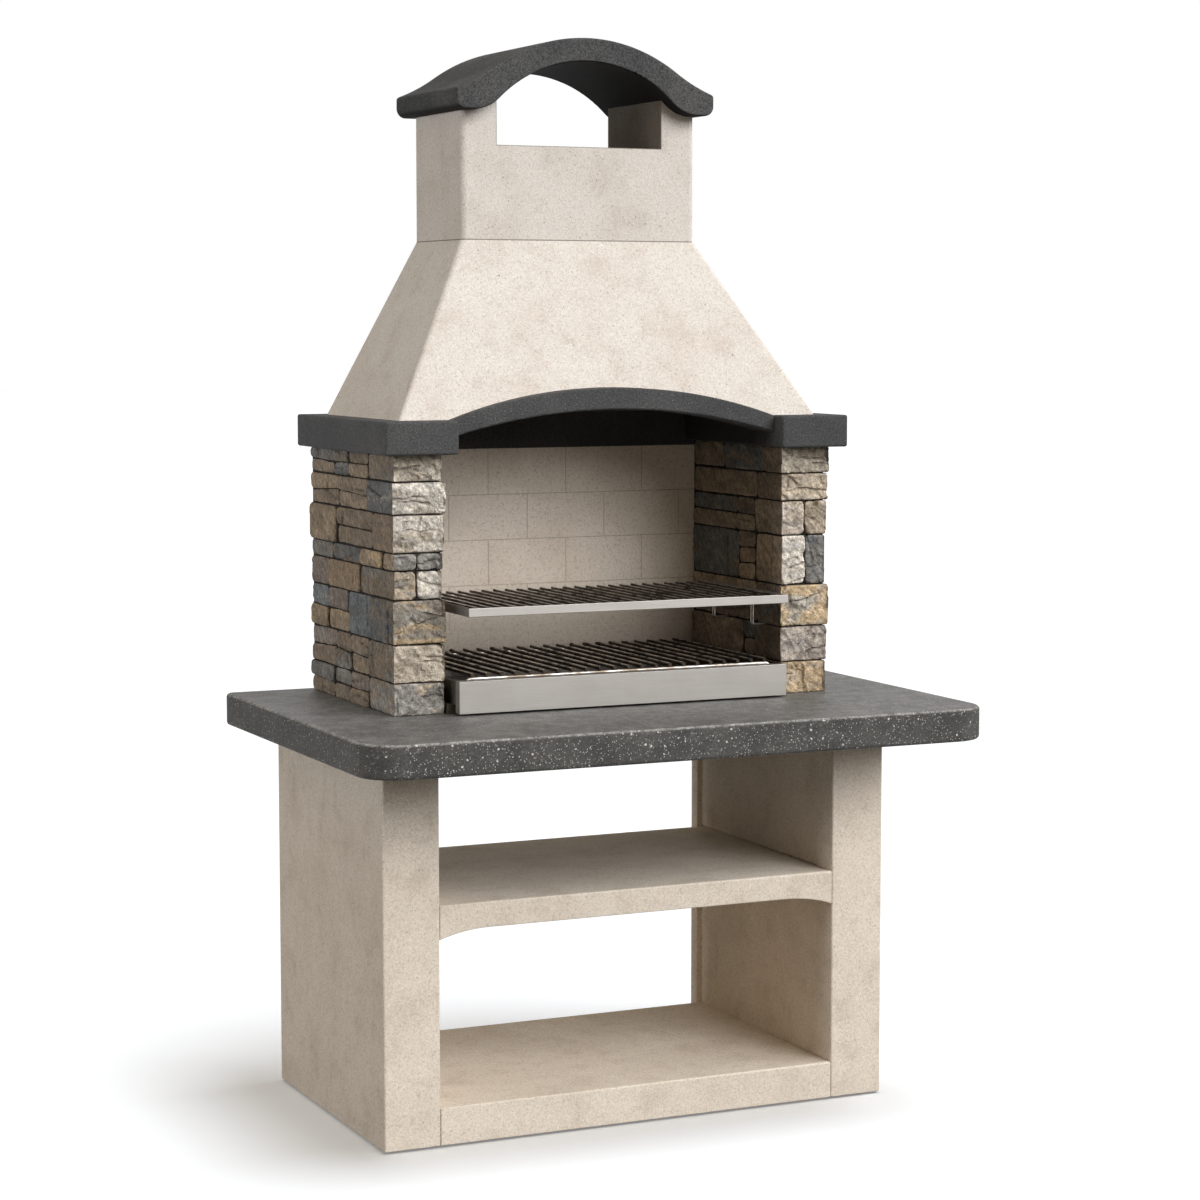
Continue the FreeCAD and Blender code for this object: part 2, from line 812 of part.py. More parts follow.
def make_stack():
    """The chimney stack: a flue, a window through front and back, and shoulders that follow the cap."""
    body = new_body("stack_body", 0, stack_front, hood_top)
    sketch = new_sketch(body, "XY_Plane")
    half = s.stack_width / 2
    half_flue = s.flue_width / 2
    rectangle(sketch, (-half, half), (as_size(0), s.stack_depth))
    rectangle(sketch, (-half_flue, half_flue), (s.flue_wall, s.stack_depth - s.flue_wall))
    pad(body, sketch, s.stack_height + s.cap_rise)
    corner = half.value
    round_edges(body, s.stack_round,
                lambda edge: is_upright(edge) and abs(abs(edge.BoundBox.Center.x) - corner) < TOUCH)
    window = block("window", (-half_flue, half_flue), (stack_front, stack_back),
                   (sill_top, eave + s.cap_rise))
    with_window = cut("stack_window", body, window)
    space = new_body("cap_space", 0, stack_back, eave)
    space_sketch = new_sketch(space, "XZ_Plane")
    start, underside = cap_underside()
    over = s.cap_rise + s.cap_thick
    outline(space_sketch, start, underside + [(-start[0], over), (start[0], over), start])
    pad(space, space_sketch, s.stack_depth)
    return node(cut("stack_shoulders", with_window, space), "chimney_stack")


def make_tray():
    """The ash tray: a pan of folded sheet and the front panel that wraps its front."""
    half = wall_inner - s.tray_side_play
    front = wall_front - s.tray_reach
    panel_back = front + s.tray_front_depth
    bottom = worktop_top + s.tray_floor_play
    top = worktop_top + s.tray_front_height
    panel_outer = block("tray_front_outer", (-half, half), (front, panel_back), (bottom, top))
    panel_hollow = block("tray_front_hollow", (s.sheet_thick - half, half - s.sheet_thick),
                         (front + s.sheet_thick, panel_back + s.sheet_thick),
                         (bottom - s.sheet_thick, top - s.sheet_thick))
    node(cut("tray_front_cut", panel_outer, panel_hollow), "tray_front")
    pan_half = half - s.sheet_thick
    pan_front = front + s.sheet_thick
    pan_back = brick_front - s.tray_rear_play
    pan_floor = hearth_top + s.slide_play
    pan_top = top - s.sheet_thick
    pan_outer = block("tray_pan_outer", (-pan_half, pan_half), (pan_front, pan_back), (pan_floor, pan_top))
    pan_hollow = block("tray_pan_hollow", (s.sheet_thick - pan_half, pan_half - s.sheet_thick),
                       (pan_front + s.sheet_thick, pan_back - s.sheet_thick),
                       (pan_floor + s.sheet_thick, pan_top + s.sheet_thick))
    node(cut("tray_pan_cut", pan_outer, pan_hollow), "tray_pan")
    return pan_half - s.sheet_thick, panel_back, pan_back - s.sheet_thick, pan_floor + s.sheet_thick


def make_bars(label, count, span, diameter, y, z):
    """Round bars along Y, evenly spread over a span across the middle."""
    bars = []
    for number in range(count):
        bar = doc.addObject("Part::Cylinder", f"{label}_{number + 1}")
        bar.setExpression("Radius", (diameter / 2).text)
        bar.setExpression("Height", (y[1] - y[0]).text)
        bar.Placement = FreeCAD.Placement(FreeCAD.Vector(), FreeCAD.Rotation(FreeCAD.Vector(1, 0, 0), -90))
        place(bar, span * number / (count - 1) - span / 2, y[0], z)
        bars.append(bar)
    return node(group(f"{label}_group", bars), label)


def make_footed_rod(label, half, y, floor):
    """A cross rod whose ends bend down into feet."""
    body = new_body(f"{label}_body", 0, y, floor)
    height = s.grate_rise - s.grate_rod
    bend = s.grate_bend
    way = bend * ARC_MIDDLE
    path = new_sketch(body, "XZ_Plane")
    outline(path, (-half, 0), [
        (-half, height - bend),
        (way - half, height - way, bend - half, height),
        (half - bend, height),
        (half - way, height - way, half, height - bend),
        (half, 0),
    ], closed=False)
    section = new_sketch(body, "XY_Plane")
    circle(section, -half, 0, s.grate_rod / 2)
    pipe = body.newObject("PartDesign::AdditivePipe", f"{label}_pipe")
    pipe.Profile = section
    pipe.Spine = path
    return node(body, label)


def make_charcoal_grate(pan_side, pan_front, pan_back, pan_floor):
    """A loose grate that stands in the pan on the bent ends of its cross rods."""
    floor = pan_floor + s.slide_play
    foot = pan_side - s.grate_foot_play - s.grate_rod / 2
    front_rod = pan_front + s.grate_play + s.grate_rod / 2
    rear_rod = pan_back - s.grate_play - s.grate_rod / 2
    make_footed_rod("charcoal_grate_front_rod", foot, front_rod, floor)
    make_footed_rod("charcoal_grate_rear_rod", foot, rear_rod, floor)
    bar_level = floor + s.grate_rise + s.rod_gap
    bars_y = (front_rod - s.grate_overhang, rear_rod + s.grate_overhang)
    bar_span = (pan_side - s.grate_side_play) * 2 - s.grate_rod
    make_bars("charcoal_grate_bars", CHARCOAL_BARS, bar_span, s.grate_rod, bars_y, bar_level)


def make_cross_rod(label, half, y, z):
    rod = doc.addObject("Part::Cylinder", f"{label}_rod")
    rod.setExpression("Radius", (s.grill_rod / 2).text)
    rod.setExpression("Height", (half * 2).text)
    rod.Placement = FreeCAD.Placement(FreeCAD.Vector(), FreeCAD.Rotation(FreeCAD.Vector(0, 1, 0), 90))
    place(rod, -half, y, z)
    return node(rod, label)


def make_cooking_grill():
    """Flat rails with cross rods and bars. The front rail's ends fold back round the side rails."""
    half = wall_inner - s.grill_side_play
    front = wall_front - s.grill_reach
    back = front + s.grill_depth
    inside = half - s.grill_rail_thick
    rail_back = front + s.grill_rail_thick
    body = new_body("grill_front_rail_body", 0, front, grill_bottom)
    sketch = new_sketch(body, "XY_Plane")
    outline(sketch, (-half, 0), [
        (half, 0), (half, s.grill_return), (inside, s.grill_return), (inside, s.grill_rail_thick),
        (-inside, s.grill_rail_thick), (-inside, s.grill_return), (-half, s.grill_return), (-half, 0),
    ])
    pad(body, sketch, s.grill_rail_height)
    node(body, "grill_front_rail")
    rail_inside = inside - s.grill_side_thick
    rail_top = grill_bottom + s.grill_rail_height
    for name, side in SIDES.items():
        rail = block(f"side_rail_{name}", mirrored_span(side, rail_inside, inside), (rail_back, back),
                     (grill_bottom, rail_top))
        node(rail, f"grill_side_rail_{name}")
    bar_level = rail_top - s.grill_bar / 2
    rod_level = bar_level - s.grill_bar / 2 - s.grill_rod / 2 - s.rod_gap
    make_cross_rod("grill_front_rod", rail_inside, rail_back + s.grill_rod_inset, rod_level)
    make_cross_rod("grill_rear_rod", rail_inside, back - s.grill_rod / 2, rod_level)
    bar_span = (rail_inside - s.grill_bar_margin) * 2
    make_bars("grill_bars", GRILL_BARS, bar_span, s.grill_bar, (rail_back, back), bar_level)
    return inside - s.grill_side_thick / 2


def make_wire_support(label, side, reach, y):
    """A bent wire: out of the bed joint, up, over in a loop, down and back into the joint."""
    root_x = side * (core_inner - reach).value
    bend = s.support_bend.value
    bend_x = side * bend
    way = bend * ARC_MIDDLE
    half_loop = s.support_loop.value / 2
    top = (grill_bottom - s.slide_play - s.support_wire / 2 - support_level).value

    def leg(leg_y):
        """The wire of one leg, from the wall up to the loop."""
        points = [FreeCAD.Vector(x, leg_y, z) for x, z in
                  ((root_x, 0), (bend_x, 0), (side * way, way), (0, bend), (0, top - half_loop))]
        return [Part.LineSegment(points[0], points[1]).toShape(),
                Part.Arc(*points[1:4]).toShape(),
                Part.LineSegment(points[3], points[4]).toShape()]

    loop = Part.Arc(*[FreeCAD.Vector(0, loop_y, z) for loop_y, z in
                      ((-half_loop, top - half_loop), (0, top), (half_loop, top - half_loop))]).toShape()
    path = Part.Wire(leg(-half_loop) + [loop] + leg(half_loop)[::-1])
    radius = s.support_wire.value / 2
    ring = Part.Circle(FreeCAD.Vector(root_x, -half_loop, 0), FreeCAD.Vector(1, 0, 0), radius)
    wire = doc.addObject("Part::Feature", label)
    wire.Shape = path.makePipeShell([Part.Wire(ring.toShape())], True, False)
    wire.Placement.Base = FreeCAD.Vector(side * reach.value, y.value, support_level.value)
    return node(wire, label)


def make_wire_supports(reach):
    places = {"front": wall_front + s.support_front, "rear": wall_front + s.support_front + s.support_spacing}
    for name, side in SIDES.items():
        for place_name, y in places.items():
            make_wire_support(f"{place_name}_{name}_grill_support", side, reach, y)


def make_all():
    for name, side in SIDES.items():
        make_leg(name, side)
    make_bottom_shelf()
    make_middle_shelf()
    make_worktop()
    make_hearth_slab()
    for name, side in SIDES.items():
        make_wall_core(name, side)
    make_stone_courses("left", SIDES["left"], course_levels(s.left_course_1, left_courses[:-1]))
    make_stone_courses("right", SIDES["right"], course_levels(s.right_course_1, right_courses))
    make_back_panel()
    make_brick_courses()
    for name, side in SIDES.items():
        make_lintel_block(name, side)
    make_lintel_arch()
    make_lintel_back_beam()
    make_hood()
    make_stack()
    make_cap()
    make_charcoal_grate(*make_tray())
    make_wire_supports(make_cooking_grill())
    doc.recompute()


def check_all():
    failed = [thing.Label for thing in doc.Objects if {"Invalid", "Error"} & set(thing.State)]
    failed += [thing.Label for thing in nodes if thing.Shape.isNull() or not thing.Shape.isValid()]
    failed += [thing.Label for thing in nodes if not thing.Shape.Solids]
    if failed:
        raise SystemExit(f"failed: {sorted(set(failed))}")


def write_all():
    os.makedirs("parts", exist_ok=True)
    for thing in nodes:
        thing.Shape.exportStep(f"parts/{thing.Label}.step")


make_all()
check_all()
write_all()
print(f"{len(nodes)} nodes, {sum(len(thing.Shape.Solids) for thing in nodes)} solids")
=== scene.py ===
import math
import random

import bmesh
import bpy
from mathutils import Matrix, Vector, noise


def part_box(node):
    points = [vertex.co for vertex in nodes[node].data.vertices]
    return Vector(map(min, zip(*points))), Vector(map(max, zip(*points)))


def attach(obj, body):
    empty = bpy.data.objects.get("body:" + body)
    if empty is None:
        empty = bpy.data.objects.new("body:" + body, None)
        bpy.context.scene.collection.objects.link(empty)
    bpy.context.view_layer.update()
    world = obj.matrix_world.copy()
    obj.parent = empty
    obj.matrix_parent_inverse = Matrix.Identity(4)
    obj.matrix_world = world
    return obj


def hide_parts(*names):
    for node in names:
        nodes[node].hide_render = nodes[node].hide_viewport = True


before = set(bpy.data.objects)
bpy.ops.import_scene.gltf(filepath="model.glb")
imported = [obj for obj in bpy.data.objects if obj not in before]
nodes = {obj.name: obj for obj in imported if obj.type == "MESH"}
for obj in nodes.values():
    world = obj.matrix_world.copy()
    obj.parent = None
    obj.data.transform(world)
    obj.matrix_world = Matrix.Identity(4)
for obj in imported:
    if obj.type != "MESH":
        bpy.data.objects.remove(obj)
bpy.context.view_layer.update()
scene = bpy.context.scene

# Garden barbecue with a chimney. Metres, Z up, the front faces -Y.

BODY = "barbecue"

# Camera
CAMERA_PLACE = (-2.5596, -5.5430, 1.6424)
CAMERA_TILT = math.radians(84.54)
CAMERA_TURN = math.radians(-24.75)
FOCAL_PIXELS = 2947.06
PHOTO_PIXELS = 1200
SENSOR = 36.0

# Lamps: name, azimuth to the right of the front, elevation and spread in degrees, strength, and whether
# glossy surfaces mirror the lamp. They leave the floor out, whose one soft shadow has a lamp of its own.
OBJECT_LAMPS = (
    ("key", 22, 27, 40, 2.35, True),
    ("right_fill", 65, 33, 30, 1.1, True),
    ("left_fill", -90, 9, 10, 0.9, True),
    ("back_fill", 160, 2.5, 5, 1.1, False),
)
FLOOR_LAMP = ("floor_lamp", 40, 77, 28, 2.2, True)
LAMP_TINT = (0.97, 1.0, 1.05)
LAMP_DISTANCE = 4.0

# Light from all around: its strength from below and from straight above, and the share left from behind
AMBIENT_TINT = (1.0, 0.87, 0.68, 1.0)
AMBIENT_LOW = 0.20
AMBIENT_HIGH = 0.50
AMBIENT_BEHIND = 0.06

# Floor: a pale, faintly glowing colour where it is seen, and a dark one for the light that it throws back
WHITE = (1.0, 1.0, 1.0, 1.0)
FLOOR_HALF = 60.0
FLOOR_GAP = 0.004
FLOOR_GLOW = 0.22
FLOOR_SEEN = (0.90, 0.93, 0.97, 1.0)
FLOOR_BOUNCE = (0.14, 0.14, 0.14, 1.0)

# Inside of the hood and the chimney, whose faces get painted shade, and the joint line between them
HOOD_WALL = 0.050
FLUE_WALL = 0.064
FLUE_HALF = 0.188
SILL_HEIGHT = 0.194
SHADE_MARGIN = 0.0015
JOINT_LINE_FULL = 0.0006
JOINT_LINE_GONE = 0.0016

# Painted shade under the arch starts this far behind its front
ARCH_SHADE_START = 0.012

# Painted shade on the hearth and the foot of the bricks behind it
BRICK_SHADE_HEIGHT = 0.27
SHADE_WANDER = 0.06

# Chips of the worktop: cells in a metre, radius in cells, share of the cells with a chip, and strength
WORKTOP_CHIPS = ((68, 0.17, 0.42, 0.95), (125, 0.24, 0.4, 0.85), (250, 0.34, 0.4, 0.7))

# Specks: the smallest as a share of the largest, and the soft share of the radius
SPECK_SMALLEST = 0.3
SPECK_SOFT = 0.25

# Small edge radii
CAST_ARRIS = 0.0022
SHEET_BEND = 0.0018
BEND_SEGMENTS = 2

# Split stones: the spacing of points, closer at the borders, which keep to that share of a side
FRONT_STEP = 0.0026
SIDE_STEP = 0.0042
BORDER_STEPS = (0.0, 0.0010, 0.0024, 0.0045)
BORDER_SHARE = 0.3

# Rounded corners in plan, edges whose radius varies from place to place, and rounded outlines of the faces,
# outside which a face falls back at a slope down to a deepest place
CORNER_ROUND = 0.004
CORNER_SEGMENTS = 4
FRONT_ROUND = 0.0055
SIDE_ROUND = 0.0045
ROUND_SPREAD = 0.7
ROUND_CELLS = 24
OUTLINE_ROUND = 0.011
OUTLINE_SLOPE = 2
OUTLINE_DEEPEST = 0.006

# How much stones grow into their joints, how deep their faces go, and how their joints lean
BED_GROWTH = 0.0011
HEAD_GROWTH = 0.0007
HEAD_JOINT = 0.003
DEEPEST = {"front": 0.0145, "outer": 0.008, "inner": 0.008}
LEAN = 0.3
TILT = 0.16
LEAN_REACH = 0.03

# Relief of a face: its mean depth, the depth of a slow swell and of a fine roughness, and layers of chips,
# each with a depth, cells in a metre and a shift
FRONT_RELIEF = {
    "mean": 0.0035, "swell": 0.0016, "fine": 0.0009,
    "chips": ((0.008, 21, (0, 0, 0)), (0.006, 48, (3, 5, 7)), (0.0026, 110, (0, 0, 0))),
}
SIDE_RELIEF = {
    "mean": 0.0024, "swell": 0.0012, "fine": 0.0005,
    "chips": ((0.0036, 17, (0, 0, 0)), (0.0018, 60, (0, 0, 0))),
}
SWELL_CELLS = 14
FINE_CELLS = 75
CHIP_LEVEL = 0.5

# Fractal noise: how fast finer octaves fade, how much finer each is, and how many there are
FINE_FRACTAL = (0.9, 2.1, 3)
BED_FRACTAL = (0.8, 2.0, 4)

# Cracks: how many a face can have, their levels and half lengths as shares of the face, steps in the face
# beside them, the depth, width and wander of their lines, and where their ends fade
FRONT_CRACKS = (1, 2)
SIDE_CRACKS = (0, 1, 1)
CRACK_LEVELS = (0.25, 0.75)
CRACK_HALVES = (0.25, 0.5)
CRACK_STEPS = (-0.0015, 0.003)
CRACK_SLANT = 0.3
UPRIGHT_CRACKS = 0.5
CRACK_DEPTH = 0.0034
CRACK_WIDTH = (0.0004, 0.003)
CRACK_STEP_HALF = 0.002
CRACK_WANDER = 0.004
CRACK_WANDER_CELLS = 45
CRACK_FADE_BEFORE = 0.012
CRACK_FADE_AFTER = 0.004

# Colour of a stone: cells of its beds and patches in a metre, the share and noise range of its second and
# third tones, and shares of shading with the depths between which they set in. The shading in hollows, at
# joints and in cracks is painted shade, and the one on the arris a painted highlight
BED_CELLS = (11, 11, 34)
OTHER_TONES = ((0.8, -0.05, 0.6), (0.6, 0.15, 0.5))
MEAN_SHADE = 0.95
PATCH_SHADE = 0.14
PATCH_CELLS = 22
STONE_SHADE = 0.1
HOLLOW_SHADE = 0.35
HOLLOW_DEPTHS = (0.006, 0.012)
ARRIS_HIGHLIGHT = 0.14
ARRIS_HIGHLIGHT_RISES = (0.0002, 0.0012)
ARRIS_HIGHLIGHT_ENDS = (0.0016, 0.0032)
JOINT_SHADE = 0.8
JOINT_DEPTHS = (0.0018, 0.004)
CRACK_SHADE = 0.55

# Fillings behind joints: how far they lie behind the faces
FRONT_INSET = 0.0155
SIDE_INSET = 0.009
BACK_INSET = 0.003
BRICK_JOINT_INSET = 0.0007

# Meshes and noise
WELD = 1e-5
FACE_TOLERANCE = 0.009
FRONTWARD = -0.5
SHARP = math.radians(40)
FLAT = math.radians(0.5)
NOISE_SEED = 11
SEED_REACH = 50


def tone(red, green, blue):
    """Linear colour of an sRGB colour given from 0 to 255."""
    def linear(value):
        share = value / 255
        return share / 12.92 if share <= 0.04045 else ((share + 0.055) / 1.055) ** 2.4
    return (linear(red), linear(green), linear(blue), 1.0)


STONE_TONES = {
    "pale_cream": tone(224, 214, 200),
    "cream": tone(214, 201, 182),
    "sand": tone(198, 182, 160),
    "pinkish": tone(202, 189, 176),
    "ochre": tone(198, 174, 140),
    "tan": tone(168, 150, 128),
    "rust": tone(164, 142, 118),
    "brown": tone(146, 131, 114),
    "umber": tone(122, 109, 95),
    "pale_grey": tone(186, 181, 173),
    "grey": tone(148, 143, 136),
    "mauve": tone(146, 134, 124),
    "slate": tone(112, 112, 110),
    "blue_grey": tone(124, 128, 130),
}


class Nodes:
    """A tree of shader nodes, built up node by node."""

    def __init__(self, tree):
        self.tree = tree

    def add(self, kind, **settings):
        node = self.tree.nodes.new(kind)
        for name, value in settings.items():
            setattr(node, name, value)
        return node

    def feed(self, socket, value):
        """Link an output to the socket, or set the socket to a plain value."""
        if isinstance(value, bpy.types.NodeSocket):
            self.tree.links.new(value, socket)
        else:
            socket.default_value = value

    def math(self, operation, first, second=0.0):
        node = self.add("ShaderNodeMath", operation=operation)
        self.feed(node.inputs[0], first)
        self.feed(node.inputs[1], second)
        return node.outputs["Value"]

    def plus(self, value, other, share):
        """The value plus that share of another."""
        return self.math("ADD", value, self.math("MULTIPLY", other, share))

    def span(self, value, low, high, to_low=0.0, to_high=1.0):
        """The value mapped from one range to another, smoothly and held inside it."""
        node = self.add("ShaderNodeMapRange", interpolation_type="SMOOTHSTEP")
        self.feed(node.inputs["Value"], value)
        node.inputs["From Min"].default_value = low
        node.inputs["From Max"].default_value = high
        node.inputs["To Min"].default_value = to_low
        node.inputs["To Max"].default_value = to_high
        return node.outputs["Result"]

    def ramp(self, value, low, high, to_low, to_high):
        """The value mapped in a straight line from one range to another and held inside it."""
        result = self.span(value, low, high, to_low, to_high)
        result.node.interpolation_type = "LINEAR"
        return result

    def axes(self, vector):
        node = self.add("ShaderNodeSeparateXYZ")
        self.feed(node.inputs["Vector"], vector)
        return [node.outputs[axis] for axis in "XYZ"]

    def seen_directly(self):
        """1 for rays that show a surface in the picture, in a mirror or through glass, and 0 for light."""
        path = self.add("ShaderNodeLightPath")
        total = path.outputs["Is Camera Ray"]
        for name in ("Is Glossy Ray", "Is Transmission Ray"):
            total = self.math("MAXIMUM", total, path.outputs[name])
        return total


class Look(Nodes):
    """A node material in the part's own coordinates, built up texture by texture."""

    def __init__(self, name, roughness, metallic=0.0, specular=0.5):
        self.material = bpy.data.materials.new(name)
        self.material.use_nodes = True
        super().__init__(self.material.node_tree)
        self.shader = next(node for node in self.tree.nodes if node.type == "BSDF_PRINCIPLED")
        self.shader.inputs["Roughness"].default_value = roughness
        self.shader.inputs["Metallic"].default_value = metallic
        self.shader.inputs["Specular IOR Level"].default_value = specular
        self.coordinates = self.add("ShaderNodeTexCoord").outputs["Object"]

    def drawn_out(self, lengths, turn):
        """Coordinates turned and then drawn out by a length along each axis."""
        mapping = self.add("ShaderNodeMapping", vector_type="TEXTURE")
        self.feed(mapping.inputs["Vector"], self.coordinates)
        mapping.inputs["Rotation"].default_value = turn
        mapping.inputs["Scale"].default_value = lengths
        return mapping.outputs["Vector"]

    def noise(self, scale, detail=2.0, roughness=0.5, lengths=None, turn=(0, 0, 0), distortion=0.0):
        texture = self.add("ShaderNodeTexNoise")
        self.feed(texture.inputs["Vector"], self.drawn_out(lengths, turn) if lengths else self.coordinates)
        texture.inputs["Scale"].default_value = scale
        texture.inputs["Detail"].default_value = detail
        texture.inputs["Roughness"].default_value = roughness
        texture.inputs["Distortion"].default_value = distortion
        return texture.outputs["Fac"]

    def specks(self, scale, radius, share, ragged=0.0):
        """Specks of up to that radius, in cells, in that share of the cells."""
        texture = self.add("ShaderNodeTexVoronoi")
        self.feed(texture.inputs["Vector"], self.coordinates)
        texture.inputs["Scale"].default_value = scale
        channels = self.add("ShaderNodeSeparateColor")
        self.feed(channels.inputs["Color"], texture.outputs["Color"])
        reach = self.span(channels.outputs["Green"], 0, 1, radius * SPECK_SMALLEST, radius)
        if ragged:
            rough = self.math("SUBTRACT", self.noise(scale * 3, detail=2), 0.5)
            reach = self.plus(reach, rough, ragged)
        inside = self.math("SUBTRACT", reach, texture.outputs["Distance"])
        soft = self.span(inside, 0.0, radius * SPECK_SOFT)
        chosen = self.math("LESS_THAN", channels.outputs["Red"], share)
        return self.math("MULTIPLY", soft, chosen)

    def mix(self, share, first, second, blend="MIX"):
        node = self.add("ShaderNodeMix", data_type="RGBA", blend_type=blend)
        factor = next(socket for socket in node.inputs if socket.name == "Factor" and socket.type == "VALUE")
        colours = [socket for socket in node.inputs if socket.type == "RGBA"]
        self.feed(factor, share)
        self.feed(colours[0], first)
        self.feed(colours[1], second)
        return next(socket for socket in node.outputs if socket.type == "RGBA")

    def shaded(self, colour, value, low, high, dark, light):
        """The colour times dark where the texture is low, and times light where it is high."""
        node = self.add("ShaderNodeCombineColor")
        for channel in node.inputs:
            self.feed(channel, self.span(value, low, high, dark, light))
        return self.mix(1.0, colour, node.outputs["Color"], "MULTIPLY")

    def upward(self):
        """The upward part of the surface's direction: 1 on tops, 0 on upright faces."""
        return self.axes(self.add("ShaderNodeNewGeometry").outputs["Normal"])[2]

    def colour(self, value):
        self.feed(self.shader.inputs["Base Color"], value)

    def roughness(self, value):
        self.feed(self.shader.inputs["Roughness"], value)

    def bump(self, height, strength, distance):
        node = self.add("ShaderNodeBump")
        node.inputs["Strength"].default_value = strength
        node.inputs["Distance"].default_value = distance
        self.feed(node.inputs["Height"], height)
        self.feed(self.shader.inputs["Normal"], node.outputs["Normal"])


def cast_look(name, pale, dull, shade_layer=None):
    """Pale cast concrete: sandy grain, faint brown patches and small pores that gather in them."""
    look = Look(name, roughness=0.92, specular=0.3)
    stain = tone(184, 168, 150)
    clouds = look.noise(8, detail=6, roughness=0.6)
    patches = look.noise(16, detail=6, roughness=0.66)
    sand = look.noise(150, detail=3, roughness=0.7)
    grain = look.noise(330, detail=2, roughness=0.75)
    flecks = look.span(look.noise(230, detail=4, roughness=0.75, distortion=0.6), 0.54, 0.66, 0, 0.5)
    pores = look.specks(80, radius=0.17, share=0.3, ragged=0.16)
    colour = look.mix(look.span(clouds, 0.36, 0.7), pale, dull)
    colour = look.mix(look.span(patches, 0.48, 0.74, 0, 0.26), colour, stain)
    colour = look.shaded(colour, sand, 0.3, 0.72, dark=0.94, light=1.05)
    colour = look.shaded(colour, grain, 0.28, 0.72, dark=0.88, light=1.12)
    colour = look.mix(flecks, colour, tone(150, 131, 110))
    clustered = look.math("MULTIPLY", pores, look.span(patches, 0.42, 0.62, 0.15, 0.75))
    colour = look.mix(clustered, colour, tone(118, 99, 80))
    # The shade layer, where given, adds painted shade, and for the hood the joint line
    look.colour(shade_layer(look, colour) if shade_layer else colour)
    height = look.math("SUBTRACT", look.math("MULTIPLY", sand, 0.6), clustered)
    look.bump(look.plus(height, grain, 0.4), strength=0.4, distance=0.0012)
    return look.material


def inside_shade_and_joint_line(look, colour):
    """A dark joint line between hood and stack, and painted shade on the inside faces of hood, flue and
    window, patchy and strongest low down.
    """
    hood_low, hood_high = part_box("hood")
    stack_low, stack_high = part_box("chimney_stack")
    across, deep, up = look.axes(look.coordinates)
    across = look.math("ABSOLUTE", across)
    side = look.ramp(up, hood_low.z, hood_high.z, hood_high.x - HOOD_WALL, FLUE_HALF)
    front = look.ramp(up, hood_low.z, hood_high.z, hood_low.y + HOOD_WALL, stack_low.y + FLUE_WALL)
    back = look.ramp(up, hood_low.z, hood_high.z, hood_high.y - HOOD_WALL, stack_high.y - FLUE_WALL)
    behind_front = look.math("LESS_THAN", look.math("SUBTRACT", front, deep), SHADE_MARGIN)
    before_back = look.math("LESS_THAN", look.math("SUBTRACT", deep, back), SHADE_MARGIN)
    between = look.math("MULTIPLY", behind_front, before_back)
    in_window = look.math("GREATER_THAN", up, hood_high.z + SILL_HEIGHT - SHADE_MARGIN)
    inside = look.math("LESS_THAN", look.math("SUBTRACT", across, side), SHADE_MARGIN)
    inside = look.math("MULTIPLY", inside, look.math("MAXIMUM", between, in_window))
    # Painted shade, dark brown, on the inside faces: patchy, and thicker low down
    patchy = look.span(look.noise(9, detail=5, roughness=0.6), 0.3, 0.65, 0.75, 1.0)
    shade_amount = look.math("MULTIPLY", patchy, look.span(up, hood_high.z, stack_high.z, 0.95, 0.42))
    colour = look.mix(look.math("MULTIPLY", inside, shade_amount), colour, tone(50, 42, 34))
    off_joint = look.math("ABSOLUTE", look.math("SUBTRACT", up, hood_high.z))
    line = look.span(off_joint, JOINT_LINE_FULL, JOINT_LINE_GONE, 0.75, 0)
    return look.mix(line, colour, tone(92, 80, 66))


def worktop_look():
    """Dark terrazzo: pale chips of several sizes, a pale rim of wear and painted highlight, and a smoother,
    mottled top that is paler partly as painted sheen.
    """
    look = Look("worktop_terrazzo", roughness=0.6, specular=0.35)
    upward = look.upward()
    top = look.span(upward, 0.7, 0.97)
    rim = look.math("MULTIPLY", look.span(upward, 0.3, 0.65), look.span(upward, 0.85, 0.99, 1, 0))
    clouds = look.noise(11, detail=6, roughness=0.68)
    mottle = look.noise(30, detail=7, roughness=0.78)
    scuffs = look.noise(60, detail=6, roughness=0.78, distortion=0.8)
    grain = look.noise(240, detail=3, roughness=0.75)
    edge_colour = look.mix(look.span(clouds, 0.35, 0.68), tone(62, 61, 58), tone(84, 82, 78))
    # The top is paler than the edges partly as a painted sheen
    top_colour_and_sheen = look.mix(look.span(clouds, 0.35, 0.68), tone(101, 100, 98), tone(113, 111, 108))
    colour = look.mix(top, edge_colour, look.shaded(top_colour_and_sheen, mottle, 0.36, 0.64, dark=0.62, light=1.32))
    # Pale rim on the rounded arris: wear and a painted highlight
    highlight_and_wear = look.math("MULTIPLY", rim, look.span(scuffs, 0.35, 0.6, 0.1, 0.6))
    colour = look.mix(highlight_and_wear, colour, tone(190, 187, 181))
    colour = look.mix(look.span(scuffs, 0.55, 0.72, 0, 0.45), colour, tone(160, 157, 150))
    colour = look.shaded(colour, grain, 0.3, 0.72, dark=0.62, light=1.34)
    chips = look.span(look.noise(150, detail=6, roughness=0.8), 0.6, 0.7, 0, 0.45)
    for scale, radius, share, strength in WORKTOP_CHIPS:
        sized = look.math("MULTIPLY", look.specks(scale, radius, share, ragged=0.4), strength)
        chips = look.math("MAXIMUM", chips, sized)
    shown = look.math("MULTIPLY", chips, look.span(top, 0, 1, 0.95, 0.42))
    look.colour(look.mix(shown, colour, tone(216, 212, 204)))
    look.roughness(look.span(top, 0, 1, 0.78, 0.55))
    look.bump(look.plus(grain, scuffs, 0.8), strength=0.35, distance=0.001)
    return look.material


